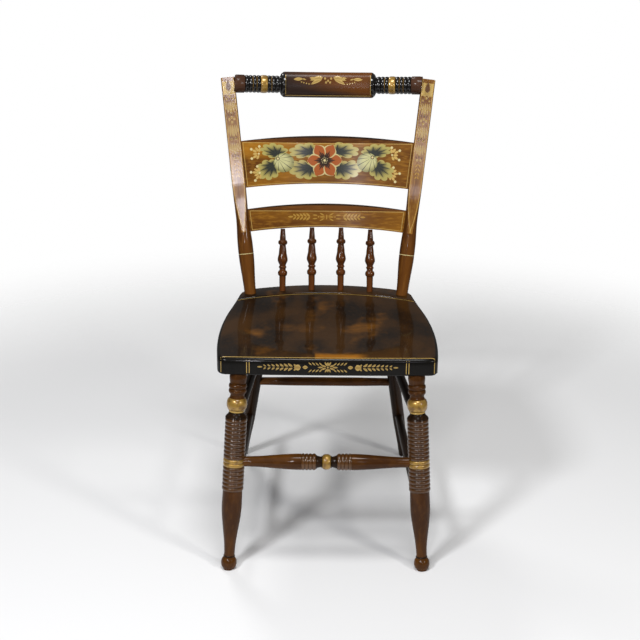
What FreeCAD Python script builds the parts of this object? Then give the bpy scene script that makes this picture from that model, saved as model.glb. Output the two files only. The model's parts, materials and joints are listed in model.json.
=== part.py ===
import FreeCAD, Part
import math
import os

# A painted side chair with a plank seat, turned legs and a bent, stencilled back.
# Millimetres. +X is to the right as seen from in front, +Y runs to the back, +Z up.
# The origin is on the floor, under the middle of the chair's outline.

# Seat
seat_height = 442.5
seat_thickness = 35.0
seat_width = 442.0
seat_depth = 438.0
seat_rear_bow = 40.0
seat_front_bow = 3.0
seat_corner_round = 13.0
seat_top_round = 9.0
seat_under_bevel = 2.0
dish_depth = 6.0
dish_radius = 170.0
dish_setback = 196.0
ledge_height = 3.0
ledge_inset = 9.5
ledge_bevel = 2.4
ledge_middle_depth = 59.0
ledge_side_depth = 122.7
# One side of the seat, front to rear: share of half the width, share of the depth
seat_front_shares = (0.970, 0.0)
seat_wide_shares = (1.0, 0.29)
seat_waist_shares = (0.921, 0.665)
seat_rear_shares = (0.842, 1.0)

# Joinery: a glue line round every tenon, and how far cuts run past what they cut
glue_line = 0.1
overrun = 8.0
leg_joint_depth = 20.0
post_joint_depth = 22.0
seat_joint_clearance = 4.0
spindle_joint_depth = 13.0
spindle_head_depth = 10.0
spindle_head_radius = 3.2
spindle_head_gap = 0.9
slat_joint_depth = 10.0
crest_joint_depth = 9.0
crest_tenon_radius = 6.5
# Stretchers go straight into their legs and stop this far short of a leg's axis
stretcher_stop = 5.0

# Front legs, from the underside of the seat down to the floor
front_leg_inset = 46.0
front_leg_setback = 23.0
front_leg_rake_run = 59.4
front_leg_splay_run = 20.8
front_foot_reach = 14.7
drum_radius = 21.7
head_length = 54.5
ball_length = 25.0
ball_radius = 20.3
ball_collar_length = 3.0
ball_collar_radius = 15.3
drum_shoulder = 12.5
drum_bead_count = 18
drum_bead_pitch = 7.4
drum_bead_depth = 1.1
foot_length = 33.0
foot_radius = 15.8
ankle_radius = 9.8
# Rows of a turning's outline: share of its length, share of its radius
head_shares = (
    (0.0, 0.75),
    (0.48, 0.75),
    (0.51, 0.69),
    (0.54, 0.80),
    (0.78, 0.80),
    (0.83, 0.66),
    (1.0, 0.66),
)
taper_shares = ((0.0, 0.93), (0.32, 0.93))
ball_shares = ((0.0, 0.70), (0.09, 0.86), (0.21, 1.0), (0.79, 1.0), (0.91, 0.86), (1.0, 0.70))

# Rear legs, from the underside of the seat down to the floor
foot_spread = 532.2
rear_leg_inset = 92.5
rear_leg_rake_run = 155.3
rear_leg_splay_run = 60.3
rear_leg_radius = 13.4
rear_leg_shares = ((0.0, 1.0), (0.76, 1.0), (1.0, 0.78))

# Stretchers, by the height of their axis above the floor
front_stretcher_height = 223.5
rear_stretcher_height = 220.5
side_upper_height = 308.5
side_lower_height = 122.5
rear_stretcher_radius = 9.8
side_stretcher_radius = 9.6
front_stretcher_radius = 16.8
front_stretcher_end_radius = 10.2
front_straight_length = 46.0
front_ball_half_length = 8.6
front_ball_radius = 15.8
front_neck_length = 12.0
front_neck_radius = 11.6
front_ring_count = 4
front_ring_pitch = 5.8
front_ring_depth = 0.9

# Back posts, from the ledge up
post_inset = 56.0
post_setback = 64.0
post_height = 447.0
post_lean_run = 117.0
post_splay_run = 50.5
post_radius = 16.5
post_flat_offset = 5.8
post_flat_run = 80.0
post_tip_share = 0.297
post_end_bevel = 1.2
post_shares = ((0.0, 0.765), (0.20, 1.0), (0.28, 0.897), (1.0, 0.897))

# Slats, by heights up the slope of the back from the ledge
slat_thickness = 9.5
slat_bow = 25.0
slat_set_in = 2.6
wide_slat_low = 224.3
wide_slat_high = 324.5
narrow_slat_low = 130.0
narrow_slat_high = 178.0
slat_crown = 15.5
slat_arch = 12.5
slat_roll_depth = 5.0

# Spindles
spindle_spacing = 63.5
spindle_count = 4
spindle_radius = 11.2
spindle_row_bow = 26.0
spindle_shares = (
    (0.0, 0.66),
    (0.25, 0.66),
    (0.25, 0.54),
    (0.28, 0.54),
    (0.28, 0.83),
    (0.33, 0.83),
    (0.33, 0.54),
    (0.36, 0.54),
    (0.46, 1.0),
    (0.72, 0.54),
    (0.74, 0.54),
    (0.74, 0.86),
    (0.79, 0.86),
    (0.79, 0.52),
    (1.0, 0.52),
)

# Crest rail, its axis set this far down the slope of the back from the tops of the posts
crest_drop = 13.1
crest_bend_angle = 7.7
pillow_half_length = 100.0
pillow_height = 54.5
pillow_thickness = 35.0
pillow_edge_thickness = 23.0
pillow_crown = 1.0
pillow_rim_length = 9.5
pillow_neck_radius = 16.0
crest_plain_radius = 19.4
crest_ring_radius = 18.6
crest_ring_length = 13.0
crest_bead_radius = 18.3
crest_bead_pitch = 6.8
crest_bead_depth = 0.7
crest_outer_bead_count = 4
crest_inner_bead_count = 3

UP = FreeCAD.Vector(0, 0, 1)
DOWN = FreeCAD.Vector(0, 0, -1)
ACROSS = FreeCAD.Vector(1, 0, 0)
BACK = FreeCAD.Vector(0, 1, 0)
ZERO = FreeCAD.Vector(0, 0, 0)
SIDES = {"left": -1, "right": 1}


def frame_on(origin, across, back, up):
    """Placement that carries local X, Y and Z to the three directions given."""
    matrix = FreeCAD.Matrix(
        across.x, back.x, up.x, origin.x,
        across.y, back.y, up.y, origin.y,
        across.z, back.z, up.z, origin.z,
        0, 0, 0, 1,
    )
    return FreeCAD.Placement(matrix)


def placed(shape, placement):
    """Copy of a shape carried into a placement."""
    moved = shape.copy()
    moved.Placement = placement.multiply(moved.Placement)
    return moved


def along(shape, start, end):
    """Copy of a shape made up the Z axis, laid from start towards end."""
    return placed(shape, FreeCAD.Placement(start, FreeCAD.Rotation(UP, end - start)))


def rod(start, direction, radius, length):
    """Plain round rod from start along a direction."""
    return Part.makeCylinder(radius, length, start, direction)


def trimmed(solid, point, outward):
    """The solid without whatever lies outward of a plane through a point."""
    reach = seat_height + post_height
    corner = FreeCAD.Vector(-reach, -reach, 0)
    block = Part.makeBox(reach + reach, reach + reach, reach, corner)
    return solid.cut(along(block, point, point + outward))


def fused(shapes):
    """One clean solid from shapes that run into each other."""
    return shapes[0].fuse(shapes[1:]).removeSplitter()


def arc_radius(half_chord, rise):
    """Radius of an arc from half its chord and its rise."""
    return (half_chord * half_chord + rise * rise) / (rise + rise)


def rows_from(shares, length, radius, start=0):
    """Rows of shares as places and radii in real sizes."""
    return [(start + place * length, size * radius) for place, size in shares]


def bead_rows(start, count, pitch, radius, depth):
    """Rows of a run of ridged beads, each ending in its groove."""
    rows = []
    for index in range(count):
        low = start + index * pitch
        rows.append((low + pitch / 2, radius))
        rows.append((low + pitch, radius - depth))
    return rows


def turned(rows):
    """Solid of revolution up the Z axis through rows of place and radius."""
    bottom = UP * rows[0][0]
    top = UP * rows[-1][0]
    outline = [bottom] + [FreeCAD.Vector(radius, 0, place) for place, radius in rows] + [top, bottom]
    return Part.Face(Part.makePolygon(outline)).revolve(ZERO, UP, 360)


def radius_at(rows, place):
    """Radius of an outline of straight rows at a place along it."""
    for before, after in zip(rows, rows[1:]):
        if before[0] <= place <= after[0]:
            share = (place - before[0]) / (after[0] - before[0])
            return before[1] + (after[1] - before[1]) * share
    return rows[-1][1]


class Sockets:
    """Cuts waiting for the pieces that they go into."""

    def __init__(self):
        self.cuts = {}

    def add(self, name, cut):
        """Keep a cut for a piece."""
        self.cuts.setdefault(name, []).append(cut)

    def cut(self, name, solid):
        """The piece with its sockets cut."""
        for cut in self.cuts.get(name, []):
            solid = solid.cut(cut)
        return solid


sockets = Sockets()


def tenon(name, mouth, inward, radius, depth):
    """Round tenon from just before the mouth to depth past it, with its socket kept for a piece."""
    heading = FreeCAD.Vector(inward).normalize()
    start = mouth - heading * overrun
    sockets.add(name, rod(start, heading, radius + glue_line, overrun + depth + glue_line))
    return rod(start, heading, radius, overrun + depth)


# Levels and rows worked out from the sizes above
seat_under = seat_height - seat_thickness
ledge_top = seat_height + ledge_height
half_width = seat_width / 2
back_slope = math.atan2(post_lean_run, post_height)
back_length = math.hypot(post_height, post_lean_run)
crest_height = back_length - crest_drop
post_spread = seat_width - post_inset - post_inset


def post_axis_x(up_slope):
    """Distance from the middle to a post's axis at a height up the slope of the back."""
    return post_spread / 2 + post_splay_run * up_slope / back_length


def crest_rim_y():
    """How far behind the posts' plane the pillow's rims lie, square to the slope of the back."""
    return (post_axis_x(crest_height) - pillow_half_length) * math.tan(math.radians(crest_bend_angle))


def crest_reach():
    """How far the crest's back runs out behind the feet of the posts."""
    bend = math.radians(crest_bend_angle)
    bow = crest_rim_y() + pillow_half_length * (1 - math.cos(bend)) / math.sin(bend)
    rise = (pillow_thickness - pillow_edge_thickness) / 2
    face = arc_radius(pillow_height / 2 - pillow_crown, rise)
    deepest = bow + pillow_thickness / 2 - face
    return deepest * math.cos(back_slope) + face + crest_height * math.sin(back_slope)


seat_run = front_leg_rake_run - front_leg_setback + seat_depth - post_setback
front_foot_y = front_foot_reach - (front_foot_reach + seat_run + crest_reach()) / 2
rear_foot_y = front_foot_y + foot_spread
front_leg_y = front_foot_y + front_leg_rake_run
rear_leg_y = rear_foot_y - rear_leg_rake_run
seat_front_y = front_leg_y - front_leg_setback
seat_rear_y = seat_front_y + seat_depth
post_y = seat_rear_y - post_setback


def seat_point(shares, inset):
    """Point on the right side of the seat's plan, drawn in by an inset."""
    front_y = seat_front_y + inset
    rear_y = seat_rear_y - inset
    return FreeCAD.Vector(half_width * shares[0] - inset, front_y + (rear_y - front_y) * shares[1], 0)


def mirrored(point):
    """The point's twin on the left."""
    return FreeCAD.Vector(-point.x, point.y, point.z)


def tangent_arc(near, end):
    """Arc that runs on smoothly from the end of another arc to a point."""
    start = near.EndPoint
    heading = near.tangent(near.LastParameter)[0]
    chord = end - start
    turn = heading.getAngle(chord)
    side = (heading - chord * (heading.dot(chord) / chord.dot(chord))).normalize()
    return Part.Arc(start, (start + end) / 2 + side * (chord.Length / 2 * math.tan(turn / 2)), end)


def seat_outline(inset):
    """Closed wire of the seat's plan at a height of zero, drawn in by an inset."""
    front_corner = seat_point(seat_front_shares, inset) + BACK * seat_front_bow
    rear_corner = seat_point(seat_rear_shares, inset) - BACK * seat_rear_bow
    wide = seat_point(seat_wide_shares, inset)
    waist = seat_point(seat_waist_shares, inset)
    near = Part.Arc(front_corner, wide, waist)
    far = tangent_arc(near, rear_corner)
    near_left = Part.Arc(mirrored(front_corner), mirrored(wide), mirrored(waist))
    far_left = tangent_arc(near_left, mirrored(rear_corner))
    front_middle = FreeCAD.Vector(0, seat_front_y + inset, 0)
    rear_middle = FreeCAD.Vector(0, seat_rear_y - inset, 0)
    arcs = [
        Part.Arc(mirrored(front_corner), front_middle, front_corner),
        near,
        far,
        Part.Arc(rear_corner, rear_middle, mirrored(rear_corner)),
        far_left,
        near_left,
    ]
    return Part.Wire(Part.__sortEdges__([arc.toShape() for arc in arcs]))


def corner_edges(solid, reach):
    """Upright edges of a solid at its front and rear corners."""
    found = []
    for edge in solid.Edges:
        box = edge.BoundBox
        upright = box.XLength + box.YLength < glue_line
        at_end = min(box.YMin - seat_front_y, seat_rear_y - box.YMin) < reach
        if upright and at_end:
            found.append(edge)
    return found


def rim_edges(solid, height):
    """Edges of a solid that lie at one height."""
    found = []
    for edge in solid.Edges:
        box = edge.BoundBox
        if box.ZLength < glue_line and abs(box.ZMin - height) < glue_line:
            found.append(edge)
    return found


def raised_plan(inset, low, high):
    """The seat's plan, drawn in by an inset, as a block between two heights, its corners rounded."""
    plan = placed(Part.Face(seat_outline(inset)), FreeCAD.Placement(UP * low, FreeCAD.Rotation()))
    block = plan.extrude(UP * (high - low))
    corners = corner_edges(block, seat_rear_bow + seat_corner_round)
    return block.makeFillet(seat_corner_round - inset / 2, corners)


def seat_plank():
    """The dished plank with its raised rear ledge and rounded edges."""
    plank = raised_plan(0, seat_under, seat_height)
    plank = plank.makeFillet(seat_top_round, rim_edges(plank, seat_height))
    plank = plank.makeChamfer(seat_under_bevel, rim_edges(plank, seat_under))
    ball = arc_radius(dish_radius, dish_depth)
    centre = FreeCAD.Vector(0, seat_front_y + dish_setback, seat_height - dish_depth + ball)
    plank = plank.cut(Part.makeSphere(ball, centre, ACROSS))
    return plank.fuse(seat_ledge()).removeSplitter()


def seat_ledge():
    """The raised strip under the posts and spindles, bevelled along its front."""
    strip = raised_plan(ledge_inset, seat_height, ledge_top)
    side_y = seat_rear_y - ledge_side_depth
    wide_left = FreeCAD.Vector(-seat_width, side_y, seat_height)
    left = FreeCAD.Vector(-half_width, side_y, seat_height)
    middle = FreeCAD.Vector(0, seat_rear_y - ledge_middle_depth, seat_height)
    far_left = FreeCAD.Vector(-seat_width, seat_rear_y + overrun, seat_height)
    edges = [
        Part.makeLine(wide_left, left),
        Part.Arc(left, middle, mirrored(left)).toShape(),
        Part.makeLine(mirrored(left), mirrored(wide_left)),
        Part.makeLine(mirrored(wide_left), mirrored(far_left)),
        Part.makeLine(mirrored(far_left), far_left),
        Part.makeLine(far_left, wide_left),
    ]
    strip = strip.common(Part.Face(Part.Wire(edges)).extrude(UP * ledge_height))
    return strip.makeChamfer(ledge_bevel, rim_edges(strip, ledge_top))


def leg_axis(kind, sign):
    """Top, at the underside of the seat, and foot, on the floor, of a leg's axis."""
    if kind == "front":
        top = FreeCAD.Vector(sign * (half_width - front_leg_inset), front_leg_y, seat_under)
        foot = FreeCAD.Vector(top.x + sign * front_leg_splay_run, front_foot_y, 0)
    else:
        top = FreeCAD.Vector(sign * (half_width - rear_leg_inset), rear_leg_y, seat_under)
        foot = FreeCAD.Vector(top.x + sign * rear_leg_splay_run, rear_foot_y, 0)
    return top, foot


def front_leg_rows(length):
    """Outline of a front leg: vase and ball, the ringed drum, a taper and a ball foot."""
    rows = rows_from(head_shares, head_length, drum_radius)
    ball_end = head_length + ball_length
    collar_end = ball_end + ball_collar_length
    drum_start = collar_end + drum_shoulder
    groove = drum_radius - drum_bead_depth
    rows += rows_from(ball_shares, ball_length, ball_radius, head_length)[1:]
    rows.append((ball_end, ball_collar_radius))
    rows.append((collar_end, ball_collar_radius))
    rows.append((drum_start, groove))
    rows += bead_rows(drum_start, drum_bead_count, drum_bead_pitch, drum_radius, drum_bead_depth)
    taper_start = rows[-1][0]
    foot_start = length - foot_length
    rows += rows_from(taper_shares, foot_start - taper_start, drum_radius, taper_start)
    rows.append((foot_start, ankle_radius))
    return rows + rows_from(ball_shares, foot_length, foot_radius, foot_start)


def leg(kind, sign):
    """A raked leg, its round head let into the seat and its foot cut flat on the floor."""
    top, foot = leg_axis(kind, sign)
    length = (foot - top).Length
    rows = rows_from(rear_leg_shares, length, rear_leg_radius)
    if kind == "front":
        rows = front_leg_rows(length)
    head = (-leg_joint_depth, rows[0][1])
    toe = (length + overrun, rows[-1][1])
    sockets.add("seat", rod(top, top - foot, rows[0][1] + glue_line, leg_joint_depth + glue_line))
    sockets.add("seat", rod(top, foot - top, rows[0][1] + glue_line, overrun))
    return trimmed(along(turned([head] + rows[1:] + [toe]), top, foot), ZERO, DOWN)


def leg_point(kind, sign, height):
    """Point on a leg's axis at a height above the floor."""
    top, foot = leg_axis(kind, sign)
    return foot + (top - foot) * (height / seat_under)


def stretcher(ends, height, rows_for):
    """A turned stretcher whose round ends run straight into sockets in two legs."""
    points = [leg_point(kind, sign, height) for kind, sign in ends]
    rows = rows_for((points[1] - points[0]).Length)
    for (kind, sign), near, far in zip(ends, points, reversed(points)):
        side = "left" if sign < 0 else "right"
        inward = FreeCAD.Vector(far - near).normalize()
        start = near + inward * (stretcher_stop - glue_line)
        sockets.add(kind + "_leg_" + side, rod(start, inward, rows[0][1] + glue_line, drum_radius + overrun))
    return along(turned(rows), points[0], points[1])


def plain_rows(radius):
    """Function giving the outline of a plain round stretcher of a radius."""
    return lambda length: [(stretcher_stop, radius), (length - stretcher_stop, radius)]


def front_stretcher_rows(length):
    """Outline of the front stretcher: swelling tapers, rings, necks and the middle ball."""
    middle = length / 2
    ball = middle - front_ball_half_length
    neck = ball - front_neck_length
    rings = neck - front_ring_count * front_ring_pitch
    groove = front_stretcher_radius - front_ring_depth
    end_radius = front_stretcher_end_radius
    near = [(stretcher_stop, end_radius), (front_straight_length, end_radius), (rings, groove)]
    near += bead_rows(rings, front_ring_count, front_ring_pitch, front_stretcher_radius, front_ring_depth)
    near += [(neck, front_neck_radius), (ball, front_neck_radius)]
    far = [(length - place, radius) for place, radius in reversed(near)]
    width = front_ball_half_length + front_ball_half_length
    return near + rows_from(ball_shares, width, front_ball_radius, ball)[1:-1] + far


def back_frame():
    """Frame of the leaning back: X across, Y square to its slope, Z up it from the ledge."""
    back = FreeCAD.Vector(0, math.cos(back_slope), -math.sin(back_slope))
    up = FreeCAD.Vector(0, math.sin(back_slope), math.cos(back_slope))
    return frame_on(FreeCAD.Vector(0, post_y, ledge_top), ACROSS, back, up)


def post_frame(sign):
    """Frame of a back post: Z up its axis from the ledge, Y square to its flat face."""
    foot = FreeCAD.Vector(sign * post_spread / 2, post_y, ledge_top)
    up = FreeCAD.Vector(sign * post_splay_run, post_lean_run, post_height).normalize()
    back = FreeCAD.Vector(0, math.cos(back_slope), -math.sin(back_slope))
    return frame_on(foot, back.cross(up), back, up)


def post_length():
    """Length of a back post above the ledge."""
    return math.hypot(back_length, post_splay_run)


def post_shaving():
    """What is shaved off a post's front: a flat that runs out in a lancet-shaped tip."""
    length = post_length()
    tip = post_tip_share * length
    flat_start = tip + post_flat_run
    tip_rise = radius_at(rows_from(post_shares, length, post_radius), tip) - post_flat_offset
    sweep = arc_radius(post_flat_run, tip_rise)
    clear = post_radius + overrun
    rise = clear - post_flat_offset
    run = math.sqrt(sweep * sweep - (sweep - rise) * (sweep - rise))
    half_run = math.sqrt(sweep * sweep - (sweep - rise / 2) * (sweep - rise / 2))
    low = FreeCAD.Vector(-clear, -clear, flat_start - run)
    middle = FreeCAD.Vector(-clear, -post_flat_offset - rise / 2, flat_start - half_run)
    high = FreeCAD.Vector(-clear, -post_flat_offset, flat_start)
    top = FreeCAD.Vector(-clear, -post_flat_offset, length + overrun)
    corner = FreeCAD.Vector(-clear, -clear, length + overrun)
    edges = [
        Part.Arc(low, middle, high).toShape(),
        Part.makeLine(high, top),
        Part.makeLine(top, corner),
        Part.makeLine(corner, low),
    ]
    return Part.Face(Part.Wire(edges)).extrude(ACROSS * (clear + clear))


def back_post(sign):
    """A turned back post with a shaved front, its foot let into the seat."""
    length = post_length()
    rows = rows_from(post_shares, length, post_radius)
    foot_radius = rows[0][1]
    foot_rows = [(-post_joint_depth, foot_radius), (seat_joint_clearance, foot_radius)]
    top_rows = [(length - post_end_bevel, rows[-1][1]), (length, rows[-1][1] - post_end_bevel)]
    rows = foot_rows + rows[1:-1] + top_rows
    frame = post_frame(sign)
    up = frame.Rotation.multVec(UP)
    drill = post_joint_depth + glue_line
    sockets.add("seat", rod(frame.Base - up * drill, up, foot_radius + glue_line, drill + overrun))
    return placed(turned(rows).cut(post_shaving()), frame)


def slat_blank(low, high, grow):
    """A bent board in the frame of the back, its front rolled back above its end corners."""
    chord = post_axis_x((low + high) / 2)
    bend = arc_radius(chord, slat_bow)
    front = bend - slat_set_in - grow
    rear = bend - slat_set_in + slat_thickness + grow
    peak = high + slat_crown * (rear - front) / slat_roll_depth
    corners = [
        FreeCAD.Vector(0, front, low - grow),
        FreeCAD.Vector(0, front, high),
        FreeCAD.Vector(0, rear, peak),
        FreeCAD.Vector(0, rear, low - grow),
    ]
    section = Part.Face(Part.makePolygon(corners + [corners[0]]))
    half_angle = math.degrees(math.asin((chord + overrun) / bend))
    section.rotate(ZERO, UP, half_angle)
    board = section.revolve(ZERO, DOWN, half_angle + half_angle)
    board.translate(BACK * (slat_bow - bend))
    return board


def slat(low, high, grow):
    """A bent slat in the frame of the back, crowned above, arched below, its ends in the posts."""
    sink = post_radius * post_shares[-1][1] - slat_joint_depth - grow
    base = low - grow
    peak = high + grow
    reach = slat_bow + slat_thickness + post_radius
    low_end = FreeCAD.Vector(post_axis_x(base) - sink, -reach, base)
    high_end = FreeCAD.Vector(post_axis_x(peak) - sink, -reach, peak)
    arch = FreeCAD.Vector(0, -reach, base + slat_arch)
    crown = FreeCAD.Vector(0, -reach, peak + slat_crown)
    edges = [
        Part.Arc(mirrored(low_end), arch, low_end).toShape(),
        Part.makeLine(low_end, high_end),
        Part.Arc(high_end, crown, mirrored(high_end)).toShape(),
        Part.makeLine(mirrored(high_end), mirrored(low_end)),
    ]
    prism = Part.Face(Part.Wire(edges)).extrude(BACK * (reach + reach))
    return placed(slat_blank(low, high, grow).common(prism), back_frame())


def slat_piece(low, high):
    """A slat, with its mortises kept for the posts."""
    mortise = slat(low, high, glue_line)
    for side in SIDES:
        sockets.add("back_post_" + side, mortise)
    return slat(low, high, 0)


def spindle(index):
    """A turned spindle between the ledge and the underside of the narrow slat."""
    x = (index - (spindle_count - 1) / 2) * spindle_spacing
    share = x / (post_spread / 2)
    foot = FreeCAD.Vector(x, post_y + spindle_row_bow * (1 - share * share), ledge_top)
    slat_share = x / post_axis_x(narrow_slat_low)
    bow = slat_bow * (1 - slat_share * slat_share) + slat_thickness / 2 - slat_set_in
    rise = narrow_slat_low + slat_arch * (1 - slat_share * slat_share)
    head = back_frame().multVec(FreeCAD.Vector(x, bow, rise))
    rows = rows_from(spindle_shares, (head - foot).Length - spindle_head_gap, spindle_radius)
    foot_radius = rows[0][1]
    rows[0] = (-spindle_joint_depth, foot_radius)
    body = along(turned(rows), foot, head)
    up = FreeCAD.Vector(head - foot).normalize()
    drill = spindle_joint_depth + glue_line
    sockets.add("seat", rod(foot - up * drill, up, foot_radius + glue_line, drill + overrun))
    return fused([body, tenon("narrow_slat", head, up, spindle_head_radius, spindle_head_depth)])


def pillow_section():
    """Upright section of the crest's pillow block: X is its depth, Z its height."""
    thin = pillow_edge_thickness / 2
    thick = pillow_thickness / 2
    half = pillow_height / 2 - pillow_crown
    front_low = FreeCAD.Vector(-thin, 0, -half)
    front_high = FreeCAD.Vector(-thin, 0, half)
    rear_low = FreeCAD.Vector(thin, 0, -half)
    rear_high = FreeCAD.Vector(thin, 0, half)
    edges = [
        Part.Arc(front_low, FreeCAD.Vector(-thick, 0, 0), front_high).toShape(),
        Part.Arc(front_high, FreeCAD.Vector(0, 0, pillow_height / 2), rear_high).toShape(),
        Part.Arc(rear_high, FreeCAD.Vector(thick, 0, 0), rear_low).toShape(),
        Part.Arc(rear_low, FreeCAD.Vector(0, 0, -pillow_height / 2), front_low).toShape(),
    ]
    return Part.Face(Part.Wire(edges))


def crest_pillow():
    """The bent pillow block, in the frame of the back."""
    bend = pillow_half_length / math.sin(math.radians(crest_bend_angle))
    section = pillow_section()
    section.translate(ACROSS * bend)
    section.rotate(ZERO, UP, 90 - crest_bend_angle)
    pillow = section.revolve(ZERO, UP, crest_bend_angle + crest_bend_angle)
    centre_y = crest_rim_y() - bend * math.cos(math.radians(crest_bend_angle))
    pillow.translate(FreeCAD.Vector(0, centre_y, crest_height))
    return pillow


def crest_bead_rows(start, count):
    """Rows of a run of the crest's beads."""
    return bead_rows(start, count, crest_bead_pitch, crest_bead_radius, crest_bead_depth)


def crest_end_rows(length):
    """Outline of a turned end of the crest, from the post inwards to the pillow's rim."""
    groove = crest_bead_radius - crest_bead_depth
    inner_start = length - pillow_rim_length - crest_inner_bead_count * crest_bead_pitch
    ring_start = inner_start - crest_ring_length
    outer_start = ring_start - crest_outer_bead_count * crest_bead_pitch
    rows = [(-overrun, crest_plain_radius), (outer_start - crest_bead_depth, crest_plain_radius)]
    rows.append((outer_start, groove))
    rows += crest_bead_rows(outer_start, crest_outer_bead_count)
    rows += [(ring_start, crest_ring_radius), (inner_start, crest_ring_radius), (inner_start, groove)]
    rows += crest_bead_rows(inner_start, crest_inner_bead_count)
    cove = length - pillow_rim_length / 2
    return rows + [(cove, pillow_neck_radius), (length + pillow_rim_length, pillow_neck_radius)]


def crest_end(side, sign):
    """A turned end of the crest, butted to its post, and its tenon."""
    rim = FreeCAD.Vector(sign * pillow_half_length, crest_rim_y(), crest_height)
    post = FreeCAD.Vector(sign * post_axis_x(crest_height), 0, crest_height)
    inward = FreeCAD.Vector(rim - post).normalize()
    shoulder = post_radius * post_shares[-1][1] + glue_line
    start = post + inward * shoulder
    end = placed(along(turned(crest_end_rows((rim - start).Length)), start, rim), back_frame())
    frame = post_frame(sign)
    outward = frame.Rotation.multVec(ACROSS * sign)
    end = trimmed(end, frame.Base - outward * shoulder, outward)
    mouth = back_frame().multVec(start)
    heading = back_frame().Rotation.multVec(inward * -1)
    return [end, tenon("back_post_" + side, mouth, heading, crest_tenon_radius, crest_joint_depth)]


def crest_rail():
    """The bent crest: turned ends, ringed, and a flattened pillow block between them."""
    pieces = [placed(crest_pillow(), back_frame())]
    for side, sign in SIDES.items():
        pieces += crest_end(side, sign)
    return fused(pieces)


def stretchers():
    """The front, rear and side stretchers by name."""
    across = {kind: [(kind, -1), (kind, 1)] for kind in ("front", "rear")}
    rear = plain_rows(rear_stretcher_radius)
    pieces = {
        "front_stretcher": stretcher(across["front"], front_stretcher_height, front_stretcher_rows),
        "rear_stretcher": stretcher(across["rear"], rear_stretcher_height, rear),
    }
    for level, height in (("upper", side_upper_height), ("lower", side_lower_height)):
        for side, sign in SIDES.items():
            ends = [("front", sign), ("rear", sign)]
            name = "side_stretcher_" + level + "_" + side
            pieces[name] = stretcher(ends, height, plain_rows(side_stretcher_radius))
    return pieces


def build():
    """All pieces by name, with their sockets cut."""
    pieces = {"crest_rail": crest_rail()}
    pieces["wide_slat"] = slat_piece(wide_slat_low, wide_slat_high)
    pieces["narrow_slat"] = slat_piece(narrow_slat_low, narrow_slat_high)
    for index in range(spindle_count):
        pieces["spindle_" + str(index + 1)] = spindle(index)
    pieces.update(stretchers())
    for side, sign in SIDES.items():
        pieces["front_leg_" + side] = leg("front", sign)
        pieces["rear_leg_" + side] = leg("rear", sign)
        pieces["back_post_" + side] = back_post(sign)
    pieces["seat"] = seat_plank()
    return {name: sockets.cut(name, solid) for name, solid in pieces.items()}


def export(pieces):
    """Write one STEP file for each piece."""
    os.makedirs("parts", exist_ok=True)
    for name, solid in pieces.items():
        solid.exportStep("parts/" + name + ".step")


export(build())
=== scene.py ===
import json
import logging
import math
from dataclasses import dataclass, replace
from enum import Enum
from typing import Callable, Iterable, Optional, Sequence, Union

import bmesh
import bpy
from mathutils import Matrix, Vector
from mathutils.bvhtree import BVHTree
from mathutils.geometry import interpolate_bezier

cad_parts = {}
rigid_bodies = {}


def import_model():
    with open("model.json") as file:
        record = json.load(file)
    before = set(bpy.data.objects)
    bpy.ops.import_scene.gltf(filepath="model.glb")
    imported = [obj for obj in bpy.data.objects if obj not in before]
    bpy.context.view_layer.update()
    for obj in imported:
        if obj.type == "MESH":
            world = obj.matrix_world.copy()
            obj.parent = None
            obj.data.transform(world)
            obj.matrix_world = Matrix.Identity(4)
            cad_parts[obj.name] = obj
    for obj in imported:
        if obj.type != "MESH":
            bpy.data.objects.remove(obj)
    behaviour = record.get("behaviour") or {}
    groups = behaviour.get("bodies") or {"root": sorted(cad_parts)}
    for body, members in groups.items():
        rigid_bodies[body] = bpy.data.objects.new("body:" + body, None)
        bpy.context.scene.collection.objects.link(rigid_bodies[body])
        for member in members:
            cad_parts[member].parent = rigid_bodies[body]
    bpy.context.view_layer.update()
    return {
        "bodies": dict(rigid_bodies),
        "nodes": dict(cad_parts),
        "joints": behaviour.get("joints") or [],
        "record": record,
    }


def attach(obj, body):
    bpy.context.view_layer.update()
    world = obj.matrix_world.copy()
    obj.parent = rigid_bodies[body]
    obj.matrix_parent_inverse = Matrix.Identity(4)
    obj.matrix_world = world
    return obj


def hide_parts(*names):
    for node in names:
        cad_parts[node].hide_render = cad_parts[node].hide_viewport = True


log = logging.getLogger("side_chair")

MM = 0.001
ORIGIN = Vector((0.0, 0.0, 0.0))
ACROSS = Vector((1.0, 0.0, 0.0))
BACK = Vector((0.0, 1.0, 0.0))
UP = Vector((0.0, 0.0, 1.0))
IN_PLACE = Matrix.Identity(4)
SIDES = {"left": -1.0, "right": 1.0}
BOTH = tuple(SIDES.values())
WHITE = (1.0, 1.0, 1.0, 1.0)

# Distances within which points are merged: on a turning in millimetres, on a film of paint in metres.
WELD = 0.005
FILM_WELD = 0.00002

# Where the painters' rays start, in millimetres: before the back, before the seat and above it.
BEFORE_BACK = -80.0
BEFORE_SEAT = -400.0
ABOVE_SEAT = 600.0

Row = tuple[float, ...]
Point = tuple[float, float]
Colour = tuple[float, float, float]
Inputs = dict[object, object]
Socket = bpy.types.NodeSocket
Mesh = bmesh.types.BMesh


# Shading


class Slot(Enum):
    """Names of paint slots; each piece keeps one, but nothing uses it."""

    DARK = "dark_paint"
    GRAINED = "grained_paint"


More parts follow.
